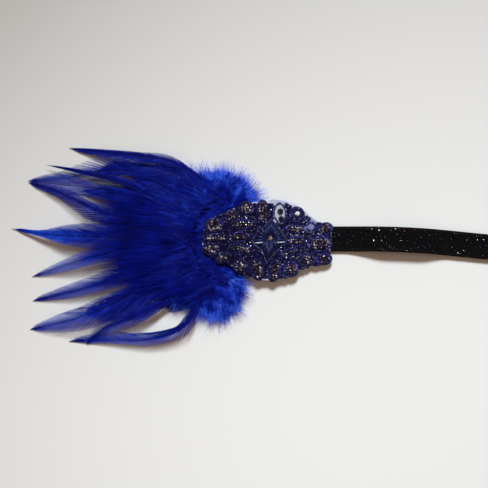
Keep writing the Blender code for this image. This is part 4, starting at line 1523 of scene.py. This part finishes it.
def short_hackle(i, rng):
    """One of the shorter hackles under the long ones, from the applique out over the mound."""
    turn = 2 * (i * 0.618 % 1) - 1
    level = i / SHORT_COUNT
    angle = math.pi - turn * math.radians(17) + rng.uniform(-0.08, 0.08)
    root = Vector((-0.034 + 0.015 * turn**2 + rng.uniform(-0.004, 0.002), 0.025 * turn))
    away = Vector((math.cos(angle), math.sin(angle)))
    across = Vector((-away.y, away.x))
    length = (0.098 - 0.046 * level) * rng.uniform(0.80, 1.15)
    farthest = rng.uniform(0.74, 0.97)
    while share_from_heart(*(root + away * length)) > farthest:
        length *= 0.97
    sway = rng.uniform(-0.005, 0.005) - 0.003 * turn
    tone = rng.uniform(0.25, 0.65)
    width = VANE_WIDTH / 2 * rng.uniform(0.70, 1.10)
    sections = 15
    points = []
    for k in range(sections):
        s = k / (sections - 1)
        place = root + away * length * s + across * sway * s * s
        share = share_from_heart(place.x, place.y)
        z = mass_top(place.x, place.y, share) * (0.80 + 0.20 * level)
        if share > 0.9:
            z = max(VANE_THICKNESS / 2, z * (1 - (share - 0.9) * 1.5))
        half = width * vane_spread(1 - s, 1.1, 0.6)
        points.append((place.x, place.y, z, half, half, 1.1 - 0.25 * s, tone, 0.30 * (1 - s) ** 2))
    return points


long_shafts = [long_hackle(dict(zip(LONG_COLUMNS, row))) for row in LONG_HACKLES]
rng = random.Random(5)
short_shafts = [short_hackle(i, rng) for i in range(SHORT_COUNT)]
settings = {
    "Barb Spacing": BARB_SPACING, "Barb Width": BARB_WIDTH, "Barb Lean": 2.5, "Clumping": 0.22,
    "Length Loss": 0.07, "Shaft Width": SHAFT_WIDTH, "Barb Points": 11, "Seed": 2,
    "Barbs": barb_dye, "Shaft": shaft_dye,
}
short_settings = settings | {
    "Barb Spacing": SHORT_BARB_WIDTH, "Barb Width": SHORT_BARB_WIDTH, "Barb Lean": 3.0, "Seed": 6,
    "Shaft Width": SHORT_SHAFT_WIDTH, "Clumping": 0.30, "Barb Points": 7,
}
for name, shafts, values in (
    ("long_hackles_upper", long_shafts[:UPPER_COUNT], settings),
    ("long_hackles_lower", long_shafts[UPPER_COUNT:], settings),
    ("short_hackles", short_shafts, short_settings),
):
    piece = grow(name, shaft_mesh(name, shafts), hackle_tree, values)
    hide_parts("feather_plume")
    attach(piece, "root")


# Down
# The fluffy barbs at the foot of the hackles stand out in soft tufts above and below the
# applique and on the right half of the plume. Longer smooth strands sweep to the left over it.
DOWN_LENGTH = 0.0092
DOWN_WIDTH = 0.00020
DOWN_PATCH_SHARE = 0.84
STRAND_LENGTH = 0.022
STRAND_WIDTH = 0.00019
DOWN_PER_SQUARE_METRE = 9000000
STRANDS_PER_SQUARE_METRE = 3600000

down_tree, g, start = new_tree("down", {
    "Fibres Per Square Metre": "Float", "Fibre Length": "Float", "Fibre Width": "Float",
    "Waviness": "Float", "Swing": "Float", "Locking": "Float", "Lift": "Float", "Seed": "Int",
    "Fibre": "Material",
})
points = g.node("GeometryNodeDistributePointsOnFaces", {"distribute_method": "RANDOM"}, {
    "Mesh": start["Geometry"], "Seed": start["Seed"],
    "Density": start["Fibres Per Square Metre"] * named(g, "fluff"),
})
fibres, place, luck, root = strips_on(g, points, 1.0, 6, start["Seed"])
out = place.output("X") + 0.5
flow = named(g, "flow", "FLOAT_VECTOR")
side, up = side_and_up(g, flow)
tufts = noise(g, root, 1 / 330, 1.0)
length_luck = 0.55 + 0.40 * luck.output("X") + 0.85 * luck.output("X") ** 9.0
length = start["Fibre Length"] * length_luck * named(g, "length_share")
swing = start["Swing"] * ((tufts - 0.5) * 2.6 + (luck.output("Y") - 0.5) * 0.9)
wave = g.node("ShaderNodeMath", {"operation": "SINE"}, {0: out * 5.0 + luck.output("Z") * 6.28})
sideways = length * (swing * out ** 1.3 + wave * start["Waviness"] * out)
rise = length * start["Lift"] * (0.4 + luck.output("Y")) * (out - 0.75 * out ** 2.0)
width = place.output("Y") * start["Fibre Width"] * (1 - 0.7 * out)
locks = g.node("ShaderNodeTexVoronoi", {"feature": "F1"}, {"Vector": root, "Scale": 380.0})
drawn = (locks.output("Position") - root) * (out ** 1.4 * start["Locking"])
position = root + drawn + flow * (length * out) + side * (sideways + width) + up * rise
position = above_table(g, position)
fibres = g.node("GeometryNodeSetPosition", {}, {"Geometry": fibres, "Position": position})
fibres = kept(g, fibres, "along_barb", "FLOAT", out)
fibres = kept(g, fibres, "tint", "FLOAT", luck.output("Z"))
fibres = kept(g, fibres, "lock", "FLOAT", split(g, locks.output("Color")).output("X"))
end_tree(g, painted(g, fibres, start["Fibre"]))

down_dye, g = new_material("royal_blue_down")
along = carried(g, "along_barb")
patches = noise(g, object_place(g), 0.007, 2.0)
share = 0.06 + carried(g, "tint") * 0.28 + along * 0.28 + (patches - 0.5) * 1.3
share = share + along * carried(g, "edge") * 0.60 + (carried(g, "lock") - 0.5) * 0.5
finish_material(g, {
    "Base Color": coloured(g, clamped(g, share), (
        (0.00, (0.000, 0.001, 0.040)), (0.45, (0.0004, 0.003, 0.19)), (0.80, (0.004, 0.026, 0.50)),
        (1.00, (0.060, 0.165, 0.92)),
    )),
    "Roughness": 0.6,
    "Specular IOR Level": 0.05,
})

strand_dye, g = new_material("royal_blue_strands")
patches = noise(g, object_place(g), 0.014, 2.0)
share = clamped(g, 0.24 + carried(g, "tint") * 0.32 + (patches - 0.5) * 1.2)
finish_material(g, {
    "Base Color": coloured(g, share, (
        (0.00, (0.000, 0.001, 0.060)), (0.50, (0.0005, 0.004, 0.21)), (1.00, (0.003, 0.020, 0.42)),
    )),
    "Roughness": 0.55,
    "Specular IOR Level": 0.05,
})


def fluff_field(x, y):
    """How thick the down is at (x, y), which way it flows, and its share of the full length."""
    share = share_from_heart(x, y)
    upper = smoothstep((y - 0.010) / 0.02) * smoothstep((x + 0.046) / 0.02)
    lower = smoothstep((-y - 0.012) / 0.02) * smoothstep((x + 0.052) / 0.02)
    near = smoothstep((x + 0.064) / 0.014)
    thick = max(upper, lower, near)
    away = Vector((x, y)) - Vector((-0.036, 0.010) if y > 0 else (-0.040, -0.012))
    flow = away.normalized() if away.length > 1e-6 else Vector((-1, 0))
    if abs(y) < 0.020 and x < -0.040:
        hand = 1 if y + 0.003 * math.sin(900 * x) > 0 else -1
        nearness = smoothstep((0.020 - abs(y)) / 0.008)
        flow = flow.lerp(Vector((0.3, hand)), 0.85 * nearness).normalized()
    return thick, flow, 0.6 + 0.4 * min(share, 1.0)


def upper_fluff(x, y):
    """The down over the middle line."""
    thick, flow, length_share = fluff_field(x, y)
    return thick if y > 0 else 0.0, flow, length_share


def lower_fluff(x, y):
    """The down under the middle line."""
    thick, flow, length_share = fluff_field(x, y)
    return thick if y <= 0 else 0.0, flow, length_share


def streak_field(x, y):
    """The same facts for the long smooth strands that sweep to the left over the plume."""
    away = Vector((-1.0, max(min(y / 0.045, 1.0), -1.0) * 0.30))
    thick = smoothstep((0.80 - share_from_heart(x, y)) / 0.3) * smoothstep((-0.022 - x) / 0.02)
    if abs(y) < 0.026:
        thick *= smoothstep((-0.051 - x) / 0.004)
    return thick, away.normalized(), 1.0


def grow_down(name, patch, field, values):
    """Grows fibres on the upper side of a patch, as a field of facts directs them."""
    fluffs, flows, length_shares, edges = [], [], [], []
    for vertex in patch.vertices:
        p = vertex.co
        thick, way, length_share = field(p.x, p.y)
        share = min(share_from_heart(p.x, p.y), 1.0)
        low = p.z < mass_underside(p.x, p.y, share) + 0.0003
        covered = under_applique(p.x, p.y, -0.004)
        fluffs.append(0.0 if covered else thick * (0.15 if low else 1.0))
        flows.extend((way.x, way.y, 0.0))
        length_shares.append(length_share)
        edges.append(smoothstep((share - 0.45) / 0.4))
    columns = (("fluff", "FLOAT", "value", fluffs), ("flow", "FLOAT_VECTOR", "vector", flows),
               ("length_share", "FLOAT", "value", length_shares), ("edge", "FLOAT", "value", edges))
    for column, kind, slot, numbers in columns:
        patch.attributes.new(column, kind, "POINT").data.foreach_set(slot, numbers)
    return grow(name, patch, down_tree, values)


patch = build_mound(DOWN_PATCH_SHARE)
down_settings = {
    "Fibres Per Square Metre": DOWN_PER_SQUARE_METRE, "Fibre Length": DOWN_LENGTH, "Swing": 0.8,
    "Fibre Width": DOWN_WIDTH, "Waviness": 0.08, "Locking": 0.85, "Lift": 0.35, "Seed": 14,
    "Fibre": down_dye,
}
strand_settings = {
    "Fibres Per Square Metre": STRANDS_PER_SQUARE_METRE, "Fibre Length": STRAND_LENGTH, "Swing": 0.16,
    "Fibre Width": STRAND_WIDTH, "Waviness": 0.03, "Locking": 0.3, "Lift": 0.32, "Seed": 41,
    "Fibre": strand_dye,
}
for name, field, values in (
    ("plume_down_upper", upper_fluff, down_settings),
    ("plume_down_lower", lower_fluff, down_settings),
    ("plume_strands", streak_field, strand_settings),
):
    piece = grow_down(name, patch.copy(), field, values)
    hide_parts("feather_plume")
    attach(piece, "root")
